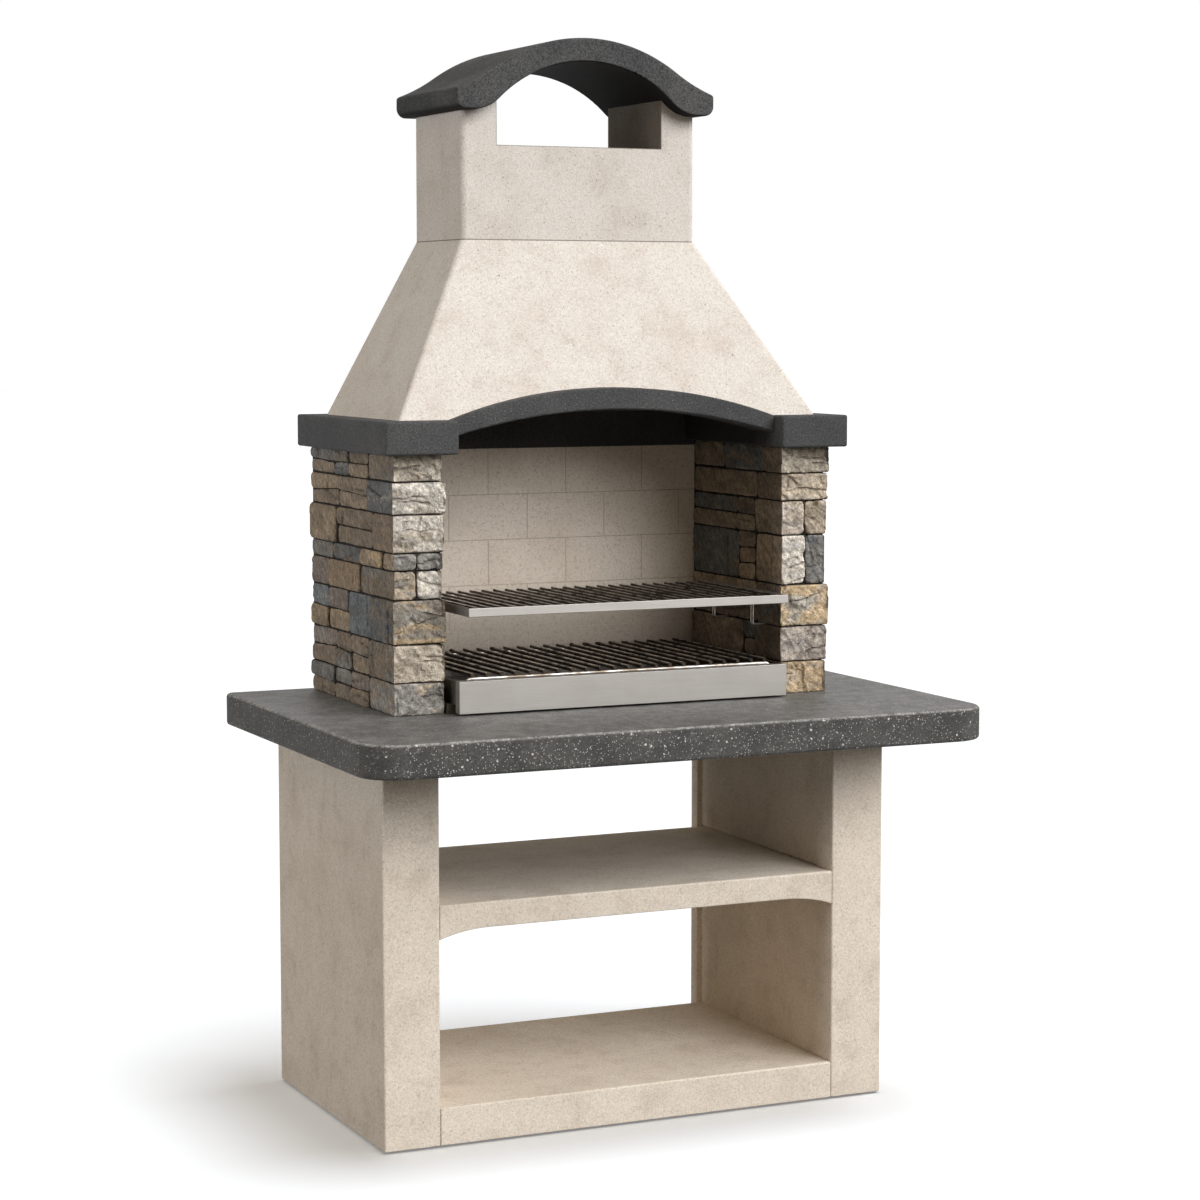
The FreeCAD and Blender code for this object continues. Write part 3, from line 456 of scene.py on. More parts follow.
def anthracite_look(name, dark, light, sparkle, shade_layer=None, specular=0.25):
    """Dark cast concrete with an even, fine grain and flakes that sparkle to that share."""
    look = Look(name, roughness=0.8, specular=specular)
    clouds = look.noise(6, detail=4, roughness=0.6)
    grain = look.noise(290, detail=3, roughness=0.8)
    colour = look.mix(look.span(clouds, 0.3, 0.7), dark, light)
    colour = look.shaded(colour, grain, 0.32, 0.68, dark=0.5, light=1.52)
    flakes = look.math("MULTIPLY", look.specks(240, radius=0.3, share=0.16), sparkle)
    colour = look.mix(flakes, colour, tone(160, 159, 157))
    # The shade layer, where given, adds painted shade
    look.colour(shade_layer(look, colour) if shade_layer else colour)
    look.bump(grain, strength=0.45, distance=0.0009)
    return look.material


def arch_painted_shade(look, colour):
    """Painted shade that grows from the front of the arch to its back, and on along the inner sides of the
    blocks.
    """
    arch_low, arch_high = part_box("lintel_arch")
    across, deep, _ = look.axes(look.coordinates)
    past_arch = look.math("SUBTRACT", look.math("ABSOLUTE", across), arch_high.x)
    inside = look.math("LESS_THAN", past_arch, SHADE_MARGIN)
    # Painted shade, near black, deepening towards the back of the arch
    shade_amount = look.span(deep, arch_low.y + ARCH_SHADE_START, arch_high.y, 0, 0.85)
    return look.mix(look.math("MULTIPLY", inside, shade_amount), colour, tone(26, 24, 22))


def cap_underside_shade(look, colour):
    """Painted shade on the faces that look down."""
    under = look.span(look.upward(), -0.8, -0.35, 0.95, 0)
    return look.mix(under, colour, tone(24, 21, 19))


def brick_look(name, shade_low, shade_high, cover):
    """Smooth refractory brick, pale and finely grained, with painted shade that thins out between two
    heights.
    """
    look = Look(name, roughness=0.9, specular=0.3)
    clouds = look.noise(8, detail=4, roughness=0.6)
    sand = look.noise(150, detail=3, roughness=0.65)
    grain = look.noise(360, detail=3, roughness=0.7)
    colour = look.mix(look.span(clouds, 0.35, 0.7), tone(238, 224, 207), tone(228, 213, 195))
    colour = look.mix(look.span(sand, 0.5, 0.7, 0, 0.35), colour, tone(164, 147, 128))
    colour = look.shaded(colour, grain, 0.3, 0.7, dark=0.84, light=1.07)
    # Painted shade, dark brown, from the hearth up to a wavering height
    height = look.plus(look.axes(look.coordinates)[2], clouds, SHADE_WANDER)
    look.colour(look.mix(look.span(height, shade_low, shade_high, cover, 0), colour, tone(52, 44, 36)))
    look.bump(look.math("ADD", grain, sand), strength=0.25, distance=0.0008)
    return look.material


def mortar_look(name, dark, light):
    """Sandy mortar."""
    look = Look(name, roughness=0.95, specular=0.2)
    sand = look.noise(160, detail=3, roughness=0.7)
    look.colour(look.mix(look.span(sand, 0.35, 0.7), dark, light))
    look.bump(sand, strength=0.5, distance=0.002)
    return look.material


def stone_look():
    """Split stone: the stone's own colour with fine strata, chisel strokes, crystals and stains."""
    look = Look("split_stone", roughness=0.86, specular=0.3)
    own = look.add("ShaderNodeAttribute", attribute_name="stone_colour").outputs["Color"]
    strata = look.noise(30, detail=5, roughness=0.65, lengths=(2.6, 2.6, 1), distortion=0.6)
    strokes = look.noise(150, detail=3, roughness=0.6, lengths=(5, 5, 1), turn=(0.7, 0.75, 0))
    chips = look.noise(110, detail=5, roughness=0.68)
    grain = look.noise(420, detail=2, roughness=0.7)
    colour = look.shaded(own, strata, 0.32, 0.7, dark=0.8, light=1.14)
    colour = look.shaded(colour, chips, 0.3, 0.7, dark=0.66, light=1.34)
    colour = look.shaded(colour, strokes, 0.3, 0.7, dark=0.78, light=1.24)
    colour = look.mix(look.span(chips, 0.62, 0.75, 0, 0.22), colour, tone(112, 88, 64))
    look.colour(look.shaded(colour, grain, 0.3, 0.7, dark=0.7, light=1.22))
    height = look.plus(chips, grain, 0.3)
    height = look.plus(height, strokes, 0.7)
    height = look.plus(height, strata, 0.6)
    look.bump(height, strength=0.85, distance=0.004)
    return look.material


def steel_look(name, bright, dull, soot):
    """Sheet steel with a very fine brushing along X, and soot up to that share."""
    look = Look(name, roughness=0.42, metallic=1.0)
    lines = look.noise(420, detail=3, roughness=0.6, lengths=(60, 1, 1))
    smudges = look.noise(6, detail=4, roughness=0.6)
    colour = look.mix(look.span(smudges, 0.35, 0.7), bright, dull)
    colour = look.shaded(colour, lines, 0.3, 0.7, dark=0.95, light=1.04)
    if soot:
        black = look.span(look.noise(14, detail=5, roughness=0.65), 0.35, 0.65, 0.2, soot)
        colour = look.mix(black, colour, tone(38, 33, 29))
    look.colour(colour)
    look.roughness(look.span(look.math("ADD", lines, smudges), 0.7, 1.3, 0.4, 0.52))
    look.bump(lines, strength=0.05, distance=0.0002)
    return look.material


def bar_look():
    """Heat-darkened bars, brown-black, with bright patches on their tops that are painted highlights."""
    look = Look("heat_darkened_bars", roughness=0.4, metallic=0.85)
    scale = look.noise(38, detail=4, roughness=0.65)
    grain = look.noise(300, detail=2, roughness=0.6)
    # Painted highlight: pale patches on the upward faces of the bars
    highlight_and_wear = look.span(look.upward(), 0.55, 0.97)
    colour = look.mix(look.span(scale, 0.35, 0.62), tone(40, 33, 27), tone(66, 56, 47))
    patches = look.math("MULTIPLY", look.span(scale, 0.34, 0.55), highlight_and_wear)
    colour = look.mix(look.math("MULTIPLY", patches, 0.9), colour, tone(222, 212, 197))
    look.colour(colour)
    look.roughness(look.span(scale, 0.3, 0.7, 0.5, 0.3))
    look.bump(grain, strength=0.3, distance=0.0004)
    return look.material


def rod_look():
    """Drawn steel rod: bright, with light brown heat stains."""
    look = Look("drawn_rod", roughness=0.4, metallic=1.0)
    stains = look.noise(22, detail=4, roughness=0.6)
    look.colour(look.mix(look.span(stains, 0.4, 0.66), tone(190, 184, 176), tone(128, 112, 96)))
    look.roughness(look.span(stains, 0.3, 0.7, 0.34, 0.5))
    look.bump(look.noise(400, detail=2), strength=0.15, distance=0.0003)
    return look.material


def dress(material, *names):
    """Give CAD nodes one material."""
    for name in names:
        mesh = nodes[name].data
        mesh.materials.clear()
        mesh.materials.append(material)


def round_edges(width, *names):
    """Round the sharp edges of CAD nodes, whose triangles are first joined and flattened."""
    for name in names:
        modifiers = nodes[name].modifiers
        modifiers.new("join", "WELD").merge_threshold = WELD
        flatten = modifiers.new("flatten", "DECIMATE")
        flatten.decimate_type = "DISSOLVE"
        flatten.angle_limit = FLAT
        bevel = modifiers.new("round", "BEVEL")
        bevel.width = width
        bevel.segments = BEND_SEGMENTS
        bevel.limit_method = "ANGLE"
        bevel.angle_limit = SHARP
        bevel.harden_normals = True


def dress_cast_and_metal():
    dress(cast_look("cast_concrete", tone(231, 218, 201), tone(222, 208, 190)), "base_leg_left",
          "base_leg_right", "bottom_shelf", "middle_shelf", "back_panel")
    dress(cast_look("cast_concrete_shaded_inside", tone(226, 218, 208), tone(220, 210, 199), inside_shade_and_joint_line), "hood",
          "chimney_stack")
    dress(worktop_look(), "worktop")
    dark, light = tone(74, 74, 74), tone(89, 88, 87)
    # The cap gets painted shade on its underside
    dress(anthracite_look("anthracite_cast", dark, light, 0.4, cap_underside_shade, specular=0.05), "chimney_cap")
    dark, light = tone(66, 66, 66), tone(80, 79, 78)
    dress(anthracite_look("anthracite_cast_shaded_arch", dark, light, 0.4, arch_painted_shade), "lintel_left_block",
          "lintel_right_block", "lintel_arch")
    # The back beam is a darker copy of the anthracite: painted shade under the arch
    dark, light = tone(48, 46, 43), tone(62, 59, 55)
    dress(anthracite_look("anthracite_cast_painted_shade", dark, light, 0.1), "lintel_back_beam")
    slab_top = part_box("hearth_slab")[1].z
    bricks = [name for name in nodes if name.startswith("back_brick_course")]
    # Bricks and hearth get painted shade low down, thickest on the hearth
    dress(brick_look("refractory_brick", slab_top, slab_top + BRICK_SHADE_HEIGHT, cover=0.7), *bricks)
    dress(brick_look("hearth_brick", slab_top + SHADE_WANDER, slab_top + BRICK_SHADE_HEIGHT, cover=0.92),
          "hearth_slab")
    dress(mortar_look("wall_core", tone(96, 86, 75), tone(122, 111, 98)), "left_wall_core", "right_wall_core")
    dress(steel_look("brushed_steel", tone(160, 155, 148), tone(153, 148, 141), soot=0), "tray_front",
          "grill_front_rail", "grill_side_rail_left", "grill_side_rail_right")
    dress(steel_look("sooty_steel", tone(150, 144, 136), tone(128, 122, 114), soot=0.85), "tray_pan")
    dress(bar_look(), "charcoal_grate_bars", "grill_bars")
    dress(rod_look(), *[name for name in nodes if name.endswith(("_rod", "_grill_support"))])


# Colours of the stones, course by course from the worktop up. Each entry is a stone's main and second
# colour, and a third for a vein where it has one. A course that shows two stones has the outer one first.
FRONT_COLOURS = {
    "left": [["grey pale_grey ochre"], ["cream sand brown"], ["ochre cream blue_grey"],
             ["sand grey ochre", "pale_cream grey"], ["grey blue_grey", "pale_grey grey sand"],
             ["pale_cream sand brown"], ["pale_cream pale_grey brown"], ["cream pale_cream brown"]],
    "right": [["ochre sand brown"], ["pinkish mauve grey"], ["ochre cream pale_grey"],
              ["grey blue_grey slate", "pale_cream pale_grey"], ["sand brown", "pinkish sand"],
              ["sand pinkish brown"], ["cream sand brown"]],
}
OUTER_COLOURS = [
    ["grey brown tan", "brown tan", "mauve brown", "brown grey", "grey umber", "brown tan", "grey slate"],
    ["brown grey", "tan brown", "brown mauve", "grey brown", "brown umber", "brown tan", "mauve grey"],
    ["slate mauve brown", "blue_grey slate", "tan ochre", "mauve grey", "tan ochre", "blue_grey grey"],
    ["brown grey tan", "rust tan", "mauve brown"],
    ["tan brown", "tan ochre", "slate umber", "grey brown"],
    ["brown rust", "brown umber", "brown tan", "tan brown"],
    ["slate grey", "brown tan", "brown mauve", "brown tan", "tan brown"],
    ["brown grey", "tan brown", "brown tan", "slate grey", "grey brown", "brown tan", "grey slate"],
]
INNER_COLOURS = [
    ["brown umber", "umber brown", "brown tan"],
    ["umber brown", "brown tan", "slate brown", "brown umber"],
    ["umber slate", "brown tan", "tan brown", "brown umber", "tan brown"],
    ["tan brown", "tan ochre", "rust tan", "brown umber", "slate umber"],
    ["brown tan", "tan brown", "umber brown", "brown tan", "slate umber"],
    ["brown umber", "tan brown"],
    ["brown tan", "slate brown", "tan brown"],
]


def solids_of(name):
    """The corner points of each separate solid of a CAD node."""
    mesh = bmesh.new()
    mesh.from_mesh(nodes[name].data)
    bmesh.ops.remove_doubles(mesh, verts=mesh.verts, dist=WELD)
    taken = set()
    solids = []
    for start in mesh.verts:
        if start in taken:
            continue
        taken.add(start)
        reached = [start]
        for vertex in reached:
            for edge in vertex.link_edges:
                other = edge.other_vert(vertex)
                if other not in taken:
                    taken.add(other)
                    reached.append(other)
        solids.append([vertex.co.copy() for vertex in reached])
    mesh.free()
    return solids


class Wall:
    """Where a side wall's faces and core are, from the CAD model."""

    def __init__(self, name):
        self.side = -1 if name == "left" else 1
        courses = [node for node in nodes if node.startswith(f"{name}_stone_course_")]
        self.courses = sorted(courses, key=lambda node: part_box(node)[0].z)
        boxes = [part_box(node) for node in courses]
        self.front = min(low.y for low, high in boxes)
        self.outer = max(max(abs(low.x), abs(high.x)) for low, high in boxes)
        self.inner = min(min(abs(low.x), abs(high.x)) for low, high in boxes)
        self.bottom = min(low.z for low, high in boxes)
        self.top = max(high.z for low, high in boxes)
        self.core_low, self.core_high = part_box(f"{name}_wall_core")
        self.core_inner, self.core_outer = sorted((abs(self.core_low.x), abs(self.core_high.x)))


class Stone:
    """One stone: the line of its face in plan, the side that each stretch of it is on, and its height."""

    def __init__(self, wall, points):
        self.wall = wall
        self.bottom = max(min(point.z for point in points) - BED_GROWTH, wall.bottom)
        self.top = min(max(point.z for point in points) + BED_GROWTH, wall.top)
        front = min(point.y for point in points)
        outer = max(abs(point.x) for point in points)
        inner = min(abs(point.x) for point in points)
        has_outer = outer > wall.outer - FACE_TOLERANCE
        has_inner = inner < wall.inner + FACE_TOLERANCE
        outer_end = max(point.y for point in points if abs(point.x) > outer - WELD)
        inner_end = max(point.y for point in points if abs(point.x) < inner + WELD)
        self.is_corner = front < wall.front + FACE_TOLERANCE
        if self.is_corner:
            self.faces = ["front"]
            line = [(inner, front), (outer, front)]
            if has_inner:
                self.faces.insert(0, "inner")
                line.insert(0, (inner, inner_end))
            if has_outer:
                self.faces.append("outer")
                line.append((outer, outer_end))
        elif has_outer:
            self.faces = ["outer"]
            line = [(outer, front), (outer, outer_end)]
        else:
            self.faces = ["inner"]
            line = [(inner, inner_end), (inner, front)]
        self.line = [Vector((x * wall.side, y)) for x, y in line]
        self.line[0] += (self.line[0] - self.line[1]).normalized() * HEAD_GROWTH
        self.line[-1] += (self.line[-1] - self.line[-2]).normalized() * HEAD_GROWTH
        self.middle = (front + max(outer_end, inner_end)) / 2
        self.set_back = {
            "front": front - wall.front,
            "outer": wall.outer - outer,
            "inner": inner - wall.inner,
        }

    def order(self):
        """Place in a course: corners first, then to the rear and up by millimetres, outer before inner."""
        reach = max(abs(point.x) for point in self.line)
        if self.is_corner:
            return (0, 0.0, 0.0, -reach)
        return (1, round(self.middle, 3), round(self.bottom, 3), -reach)


def border_steps(length, step):
    """Places along a length, closer together near both ends where the edge is rounded."""
    ends = [place for place in BORDER_STEPS if place < length * BORDER_SHARE]
    inside = length - 2 * ends[-1]
    count = max(1, round(inside / step))
    middle = [ends[-1] + inside * number / count for number in range(count + 1)]
    return ends[:-1] + middle + [length - place for place in reversed(ends[:-1])]


def walk(stone):
    """Stations along the face line in plan, each a place, an outward normal, a distance and a face."""
    line = stone.line
    stations = []
    travelled = 0.0
    for index, face in enumerate(stone.faces):
        start, end = line[index], line[index + 1]
        along = (end - start).normalized()
        normal = Vector((along.y, -along.x)) * stone.wall.side
        cut_start = CORNER_ROUND if index > 0 else 0.0
        cut_end = CORNER_ROUND if index < len(stone.faces) - 1 else 0.0
        length = (end - start).length - cut_start - cut_end
        for step in border_steps(length, FRONT_STEP if face == "front" else SIDE_STEP):
            stations.append((start + along * (cut_start + step), normal, travelled + step, face))
        travelled += length
        if cut_end:
            after = (line[index + 2] - end).normalized()
            next_normal = Vector((after.y, -after.x)) * stone.wall.side
            centre = end - (normal + next_normal) * CORNER_ROUND
            for number in range(1, CORNER_SEGMENTS):
                turn = math.pi / 2 * number / CORNER_SEGMENTS
                bent = normal * math.cos(turn) + next_normal * math.sin(turn)
                nearer = face if number < CORNER_SEGMENTS / 2 else stone.faces[index + 1]
                stations.append((centre + bent * CORNER_ROUND, bent, travelled + CORNER_ROUND * turn, nearer))
            travelled += CORNER_ROUND * math.pi / 2
    return stations, travelled


def rounded_drop(distance, radius):
    """How far a face falls back that close to an edge of that radius."""
    if distance >= radius:
        return 0.0
    if distance <= 0:
        return min(radius - distance * OUTLINE_SLOPE, OUTLINE_DEEPEST)
    lean = radius - distance
    return radius - math.sqrt(radius * radius - lean * lean)


def outline_gap(bed_gap, end_gap):
    """Distance inside the stone's outline, which has rounded corners; below 0 it is outside."""
    if bed_gap > OUTLINE_ROUND or end_gap > OUTLINE_ROUND:
        return min(bed_gap, end_gap)
    return OUTLINE_ROUND - math.hypot(OUTLINE_ROUND - bed_gap, OUTLINE_ROUND - end_gap)


def smooth(value, low, high):
    """0 up to low, 1 from high on, and a smooth step between them."""
    share = min(1.0, max(0.0, (value - low) / (high - low)))
    return share * share * (3 - 2 * share)


def facet(point, scale):
    """A chipped face: every cell of the stone is a small plane with a tilt and level of its own.

    The factors only pick these from different places in the noise.
    """
    spot = point * scale
    nearest = noise.voronoi(spot)[1][0]
    tilt = noise.noise_vector(nearest * 5.3)
    return (spot - nearest).dot(tilt) + CHIP_LEVEL * noise.noise(nearest * 3.1)


def relief(point, face, seed):
    """How far the stone stands back at a place: chipped at the front, flatter on the sides."""
    layers = FRONT_RELIEF if face == "front" else SIDE_RELIEF
    shifted = point + seed
    depth = layers["mean"]
    for chip_depth, cells, shift in layers["chips"]:
        depth += chip_depth * facet(shifted + Vector(shift), cells)
    depth += layers["swell"] * noise.noise(shifted * SWELL_CELLS)
    return depth + layers["fine"] * noise.fractal(shifted * FINE_CELLS, *FINE_FRACTAL)


class Crack:
    """A straight crack with an uneven edge: a middle on the face, an angle to the bed and a half length."""

    def __init__(self, rng, start, end, height, face):
        self.along = rng.uniform(start, end)
        self.level = rng.uniform(*CRACK_LEVELS) * height
        upright = face != "front" and rng.random() < UPRIGHT_CRACKS
        self.angle = rng.uniform(-CRACK_SLANT, CRACK_SLANT) + (math.pi / 2 if upright else 0.0)
        self.half = height / 2 if upright else rng.uniform(*CRACK_HALVES) * (end - start)
        self.step = rng.uniform(*CRACK_STEPS)

    def cut(self, point, along, level):
        """Depth at a place, and how much of the crack's own line is there."""
        right, up = along - self.along, level - self.level
        run = right * math.cos(self.angle) + up * math.sin(self.angle)
        off = up * math.cos(self.angle) - right * math.sin(self.angle)
        off += CRACK_WANDER * noise.noise(point * CRACK_WANDER_CELLS)
        reach = 1 - smooth(abs(run), self.half - CRACK_FADE_BEFORE, self.half + CRACK_FADE_AFTER)
        line = reach * (1 - smooth(abs(off), *CRACK_WIDTH))
        step = reach * self.step * smooth(off, -CRACK_STEP_HALF, CRACK_STEP_HALF)
        return CRACK_DEPTH * line + step, line


def make_cracks(rng, stations, height):
    """A few cracks on each face, more of them on a front face."""
    cracks = {}
    for face in ("front", "outer", "inner"):
        places = [along for _, _, along, on_face in stations if on_face == face]
        count = rng.choice(FRONT_CRACKS if face == "front" else SIDE_CRACKS)
        if not places:
            count = 0
        cracks[face] = [Crack(rng, min(places), max(places), height, face) for _ in range(count)]
    return cracks


def stone_colour(point, names, seed, depth, edge, line):
    """The stone's colour at a place: tones in uneven beds, painted shade where it is deep, where it falls
    into a joint and in its cracks, and a painted highlight on its arris.

    The factors at seed and bed only set stones and tones apart.
    """
    tones = [STONE_TONES[name] for name in names.split()]
    bed = Vector([place * cells for place, cells in zip(point, BED_CELLS)]) + seed * 3
    colour = tones[0]
    for other, (most, low, high), spot in zip(tones[1:], OTHER_TONES, (bed, bed * 0.8 + seed)):
        share = most * smooth(noise.fractal(spot, *BED_FRACTAL), low, high)
        colour = [one + (two - one) * share for one, two in zip(colour, other)]
    patch = MEAN_SHADE + PATCH_SHADE * noise.noise((point + seed) * PATCH_CELLS)
    patch += STONE_SHADE * math.sin(seed.x * 9)
    # Painted shade in hollows, at joints and in cracks, and a painted highlight just inside the arris
    hollow = 1 - HOLLOW_SHADE * smooth(depth, *HOLLOW_DEPTHS)
    highlight_and_wear = 1 + ARRIS_HIGHLIGHT * smooth(edge, *ARRIS_HIGHLIGHT_RISES) * (1 - smooth(edge, *ARRIS_HIGHLIGHT_ENDS))
    joint = (1 - JOINT_SHADE * smooth(edge, *JOINT_DEPTHS)) * (1 - CRACK_SHADE * line)
    return [patch * hollow * highlight_and_wear * joint * value for value in colour[:3]] + [1.0]


class Course:
    """Gathers the stones of one course into a mesh of closed shells with a colour at each point.

    The factors in lean and tilt only give each joint a slope of its own.
    """

    def __init__(self, wall, number):
        self.wall = wall
        self.number = number
        low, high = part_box(wall.courses[number])
        self.bottom, self.top = low.z, high.z
        self.points = []
        self.faces = []
        self.colours = []

    def add_point(self, point, colour):
        self.points.append(point)
        self.colours.append(colour)
        return len(self.points) - 1

    def lean(self, joint_y, face, z):
        """Shift along Y of an upright joint at a height, the same for the stones on both sides of it."""
        slope = noise.noise(Vector((joint_y * 29, self.number * 5.3, self.wall.side * 2.1 + len(face))))
        return LEAN * slope * (z - (self.bottom + self.top) / 2)

    def tilt(self, stone, y, z):
        """Shift along Z of the joint between two rows, the same for the stones above and below it."""
        slope = TILT * noise.noise(Vector((stone.middle * 31, self.number * 3.7, self.wall.side * 4.3)))
        share = (z - stone.bottom) / (stone.top - stone.bottom)
        shift = 0.0
        if stone.top < self.top - WELD:
            shift += slope * (y - stone.middle) * share
        if stone.bottom > self.bottom + WELD:
            shift += slope * (y - stone.middle) * (1 - share)
        return shift

    def add_stone(self, stone, colour_names, rng):
        """Add a stone: a grid of points over its faces, and a plain back on the core."""
        stations, length = walk(stone)
        height = stone.top - stone.bottom
        levels = border_steps(height, FRONT_STEP if stone.is_corner else SIDE_STEP)
        seed = Vector([rng.uniform(0, SEED_REACH) for _ in range(3)])
        cracks = make_cracks(rng, stations, height)
        grid = []
        backs = []
        for place, normal, along, face in stations:
            end_gap = min(along, length - along)
            end = stone.line[0] if along < length / 2 else stone.line[-1]
            joint_y = end.y + math.copysign(HEAD_JOINT / 2, end.y - stone.middle)
            near_end = 0.0 if face == "front" else 1 - smooth(end_gap, 0, LEAN_REACH)
            column = []
            for level in levels:
                bed_gap = min(level, height - level)
                raw = Vector((place.x, place.y, stone.bottom + level))
                radius = FRONT_ROUND if face == "front" else SIDE_ROUND
                radius *= 1 + ROUND_SPREAD * noise.noise(raw * ROUND_CELLS + seed)
                edge = rounded_drop(outline_gap(bed_gap, end_gap), radius)
                depth, line = relief(raw, face, seed), 0.0
                for crack in cracks[face]:
                    deeper, on_line = crack.cut(raw, along, level)
                    depth += deeper
                    line = max(line, on_line)
                depth = min(max(depth, 0.0), DEEPEST[face] - stone.set_back[face])
                point = raw - normal.to_3d() * (depth + edge)
                point.y += near_end * self.lean(joint_y, face, raw.z)
                point.z += self.tilt(stone, raw.y, raw.z)
                colour = stone_colour(raw, colour_names[face], seed, depth, edge, line)
                column.append(self.add_point(point, colour))
            grid.append(column)
            backs.append(self.back_of(stone, place, normal, self.colours[column[0]]))
        self.close(grid, backs)

    def back_of(self, stone, place, normal, colour):
        """The two points on the core behind a station, at the stone's bottom and top."""
        wall = self.wall
        x = min(max(abs(place.x), wall.core_inner), wall.core_outer) * wall.side
        y = wall.core_low.y if normal.y < FRONTWARD else max(place.y, wall.core_low.y)
        return [self.add_point(Vector((x, y, z)), colour) for z in (stone.bottom, stone.top)]

    def close(self, grid, backs):
        """Faces between the grid's points, and the bed, head and back faces behind them."""
        for left, right, back_left, back_right in zip(grid, grid[1:], backs, backs[1:]):
            for low in range(len(left) - 1):
                self.faces.append((left[low], right[low], right[low + 1], left[low + 1]))
            self.faces.append((left[0], back_left[0], back_right[0], right[0]))
            self.faces.append((left[-1], right[-1], back_right[1], back_left[1]))
            self.faces.append((back_left[0], back_left[1], back_right[1], back_right[0]))
        for column, back in ((grid[0], backs[0]), (grid[-1], backs[-1])):
            self.faces.append((*column, back[1], back[0]))

    def build(self, name, material):
        mesh = bpy.data.meshes.new(name)
        mesh.from_pydata(self.points, [], self.faces)
        layer = mesh.color_attributes.new("stone_colour", "FLOAT_COLOR", "POINT")
        layer.data.foreach_set("color", [value for colour in self.colours for value in colour])
        shape = bmesh.new()
        shape.from_mesh(mesh)
        bmesh.ops.remove_doubles(shape, verts=shape.verts, dist=WELD)
        bmesh.ops.recalc_face_normals(shape, faces=shape.faces)
        shape.to_mesh(mesh)
        shape.free()
        mesh.shade_smooth()
        mesh.set_sharp_from_angle(angle=SHARP)
        return add_piece(name, mesh, material)


def add_piece(name, mesh, material):
    mesh.materials.append(material)
    piece = bpy.data.objects.new(name, mesh)
    scene.collection.objects.link(piece)
    return piece


def colours_of(stones, fronts, outers, inners):
    """Give each stone of a course its colours in order, one entry for each face that it shows."""
    lists = {"front": fronts, "outer": outers, "inner": inners}
    used = {face: 0 for face in lists}
    for stone in stones:
        names = {}
        for face in stone.faces:
            names[face] = lists[face][used[face] % len(lists[face])]
            used[face] += 1
        yield stone, names


def make_stone_walls():
    # Without a seed, vector noise differs from run to run
    noise.seed_set(NOISE_SEED)
    material = stone_look()
    # Near-black filling in the stone joints: painted shade
    joint_shade_material = mortar_look("joint_bed_painted_shade", tone(24, 21, 18), tone(40, 35, 30))
    for side in ("left", "right"):
        wall = Wall(side)
        for number, node in enumerate(wall.courses):
            rng = random.Random(f"{node} stones")
            stones = sorted((Stone(wall, points) for points in solids_of(node)), key=Stone.order)
            course = Course(wall, number)
            fronts = FRONT_COLOURS[side][number]
            outers = OUTER_COLOURS[number % len(OUTER_COLOURS)]
            inners = INNER_COLOURS[number % len(INNER_COLOURS)]
            for stone, names in colours_of(stones, fronts, outers, inners):
                course.add_stone(stone, names, rng)
            piece = course.build(f"{node}_split_face", material)
            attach(piece, BODY)
            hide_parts(node)
        inner, outer = wall.side * (wall.inner + SIDE_INSET), wall.side * (wall.outer - SIDE_INSET)
        low = Vector((inner, wall.front + FRONT_INSET, wall.core_low.z))
        high = Vector((outer, wall.core_high.y - BACK_INSET, wall.core_high.z))
        make_filling(f"{side}_wall_joint_bed", low, high, joint_shade_material)


def make_filling(name, low, high, material):
    """A plain block that fills the joints behind the faces of stones or bricks."""
    shape = bmesh.new()
    bmesh.ops.create_cube(shape, size=1.0)
    for vertex in shape.verts:
        spans = zip(low, high, vertex.co)
        vertex.co = [(one + two) / 2 + share * abs(two - one) for one, two, share in spans]
    mesh = bpy.data.meshes.new(name)
    shape.to_mesh(mesh)
    shape.free()
    piece = add_piece(name, mesh, material)
    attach(piece, BODY)


def make_brick_joints():
    """Joint filling just behind the faces of the bricks."""
    boxes = [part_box(name) for name in nodes if name.startswith("back_brick_course")]
    low = Vector([min(box[0][axis] for box in boxes) for axis in range(3)])
    high = Vector([max(box[1][axis] for box in boxes) for axis in range(3)])
    low.y += BRICK_JOINT_INSET
    material = mortar_look("brick_joints", tone(182, 168, 150), tone(206, 192, 174))
    make_filling("brick_joint_filling", low, high, material)


def make_floor():
    """A white floor that keeps the shadow and throws little light back."""
    mesh = bpy.data.meshes.new("floor")
    corners = [(x * FLOOR_HALF, y * FLOOR_HALF, -FLOOR_GAP) for x, y in ((-1, -1), (1, -1), (1, 1), (-1, 1))]
    mesh.from_pydata(corners, [], [(0, 1, 2, 3)])
    look = Look("white_floor", roughness=1.0, specular=0.0)
    seen = look.seen_directly()
    look.colour(look.mix(seen, FLOOR_BOUNCE, FLOOR_SEEN))
    look.shader.inputs["Emission Color"].default_value = WHITE
    look.feed(look.shader.inputs["Emission Strength"], look.math("MULTIPLY", seen, FLOOR_GLOW))
    floor = add_piece("floor", mesh, look.material)
    return floor


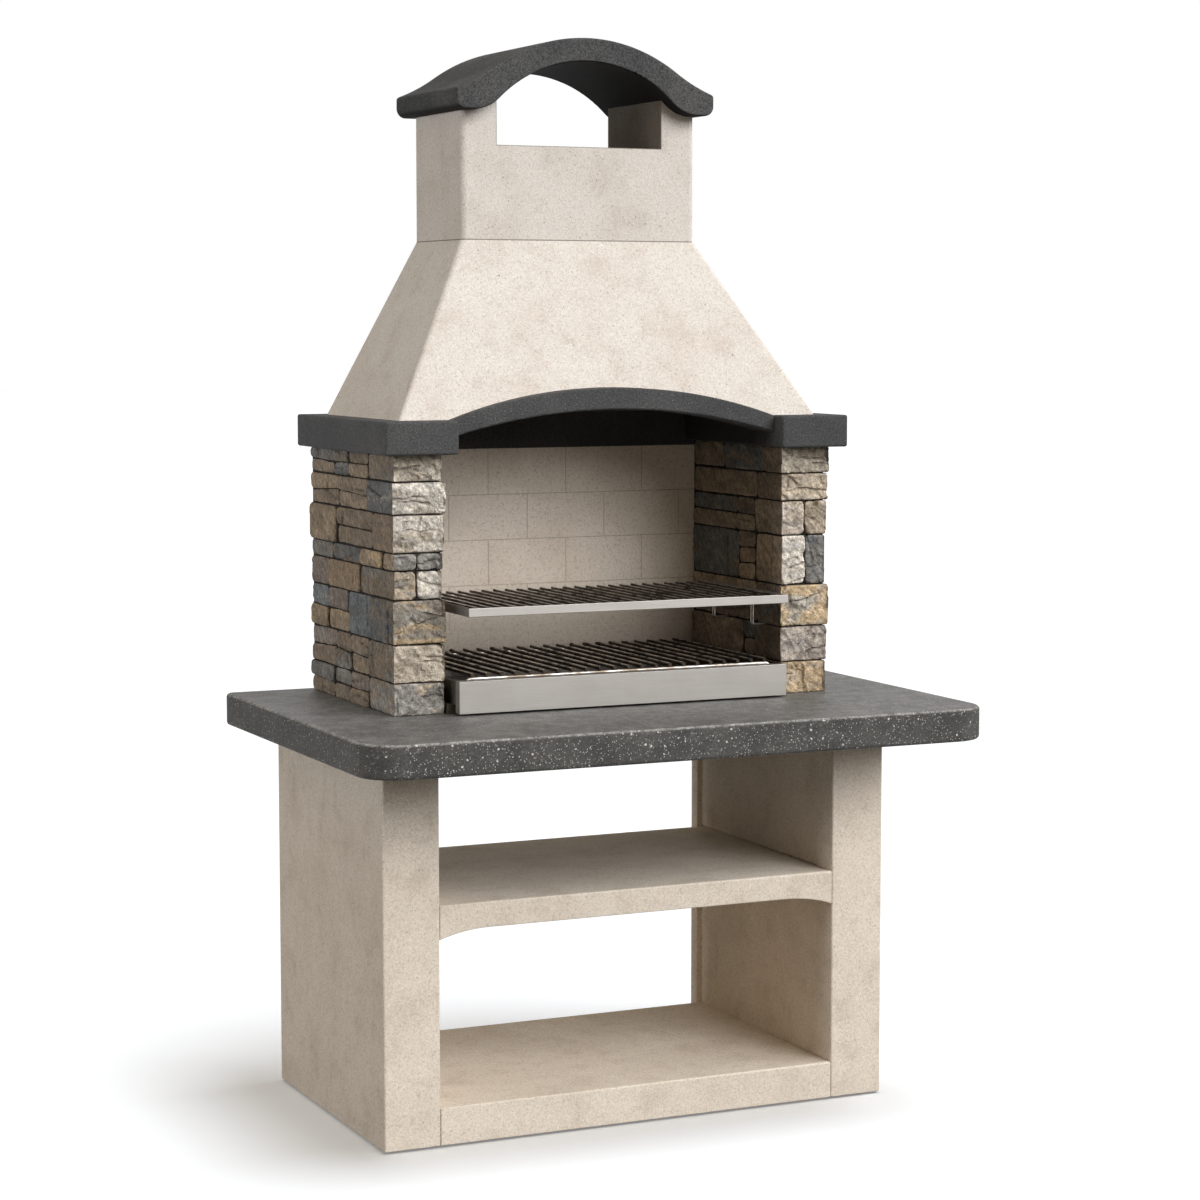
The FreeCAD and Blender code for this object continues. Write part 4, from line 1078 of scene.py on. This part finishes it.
def make_world():
    """White where it is seen, and otherwise warm light that is stronger from above and weak from behind."""
    world = bpy.data.worlds.new("studio")
    world.use_nodes = True
    scene.world = world
    world.node_tree.nodes.clear()
    sky = Nodes(world.node_tree)
    _, deep, up = sky.axes(sky.add("ShaderNodeTexCoord").outputs["Generated"])
    height = sky.ramp(up, 0, 1, AMBIENT_LOW, AMBIENT_HIGH)
    behind = sky.ramp(deep, 0, 1, 1, AMBIENT_BEHIND)
    chosen = sky.add("ShaderNodeMixShader")
    sky.feed(chosen.inputs["Fac"], sky.seen_directly())
    kinds = ((AMBIENT_TINT, sky.math("MULTIPLY", height, behind)), (WHITE, 1.0))
    for socket, (colour, strength) in zip(chosen.inputs[1:], kinds):
        background = sky.add("ShaderNodeBackground")
        sky.feed(background.inputs["Color"], colour)
        sky.feed(background.inputs["Strength"], strength)
        sky.feed(socket, background.outputs["Background"])
    sky.feed(sky.add("ShaderNodeOutputWorld").inputs["Surface"], chosen.outputs["Shader"])


def make_lamp(floor, floor_state, name, azimuth, elevation, spread, strength, mirrored):
    """A soft sun that lights only the floor, or everything but the floor."""
    lamp = bpy.data.lights.new(name, "SUN")
    lamp.energy = strength
    lamp.color = LAMP_TINT
    lamp.angle = math.radians(spread)
    sun = bpy.data.objects.new(name, lamp)
    scene.collection.objects.link(sun)
    around, up = math.radians(azimuth), math.radians(elevation)
    towards = Vector((math.cos(up) * math.sin(around), -math.cos(up) * math.cos(around), math.sin(up)))
    sun.rotation_euler = towards.to_track_quat("Z", "Y").to_euler()
    sun.location = towards * LAMP_DISTANCE
    sun.visible_glossy = mirrored
    receivers = bpy.data.collections.new(f"{name}_receivers")
    receivers.objects.link(floor)
    receivers.collection_objects[0].light_linking.link_state = floor_state
    sun.light_linking.receiver_collection = receivers


def make_light(floor):
    for lamp in OBJECT_LAMPS:
        make_lamp(floor, "EXCLUDE", *lamp)
    make_lamp(floor, "INCLUDE", *FLOOR_LAMP)


def make_camera():
    data = bpy.data.cameras.new("camera")
    data.sensor_width = SENSOR
    data.lens = FOCAL_PIXELS / PHOTO_PIXELS * SENSOR
    camera = bpy.data.objects.new("camera", data)
    camera.location = CAMERA_PLACE
    camera.rotation_euler = (CAMERA_TILT, 0.0, CAMERA_TURN)
    scene.collection.objects.link(camera)
    scene.camera = camera


dress_cast_and_metal()
round_edges(CAST_ARRIS, "base_leg_left", "base_leg_right", "bottom_shelf", "middle_shelf")
round_edges(SHEET_BEND, "tray_front", "grill_front_rail")
make_stone_walls()
make_brick_joints()
make_world()
make_light(make_floor())
make_camera()
scene.view_settings.view_transform = "Standard"
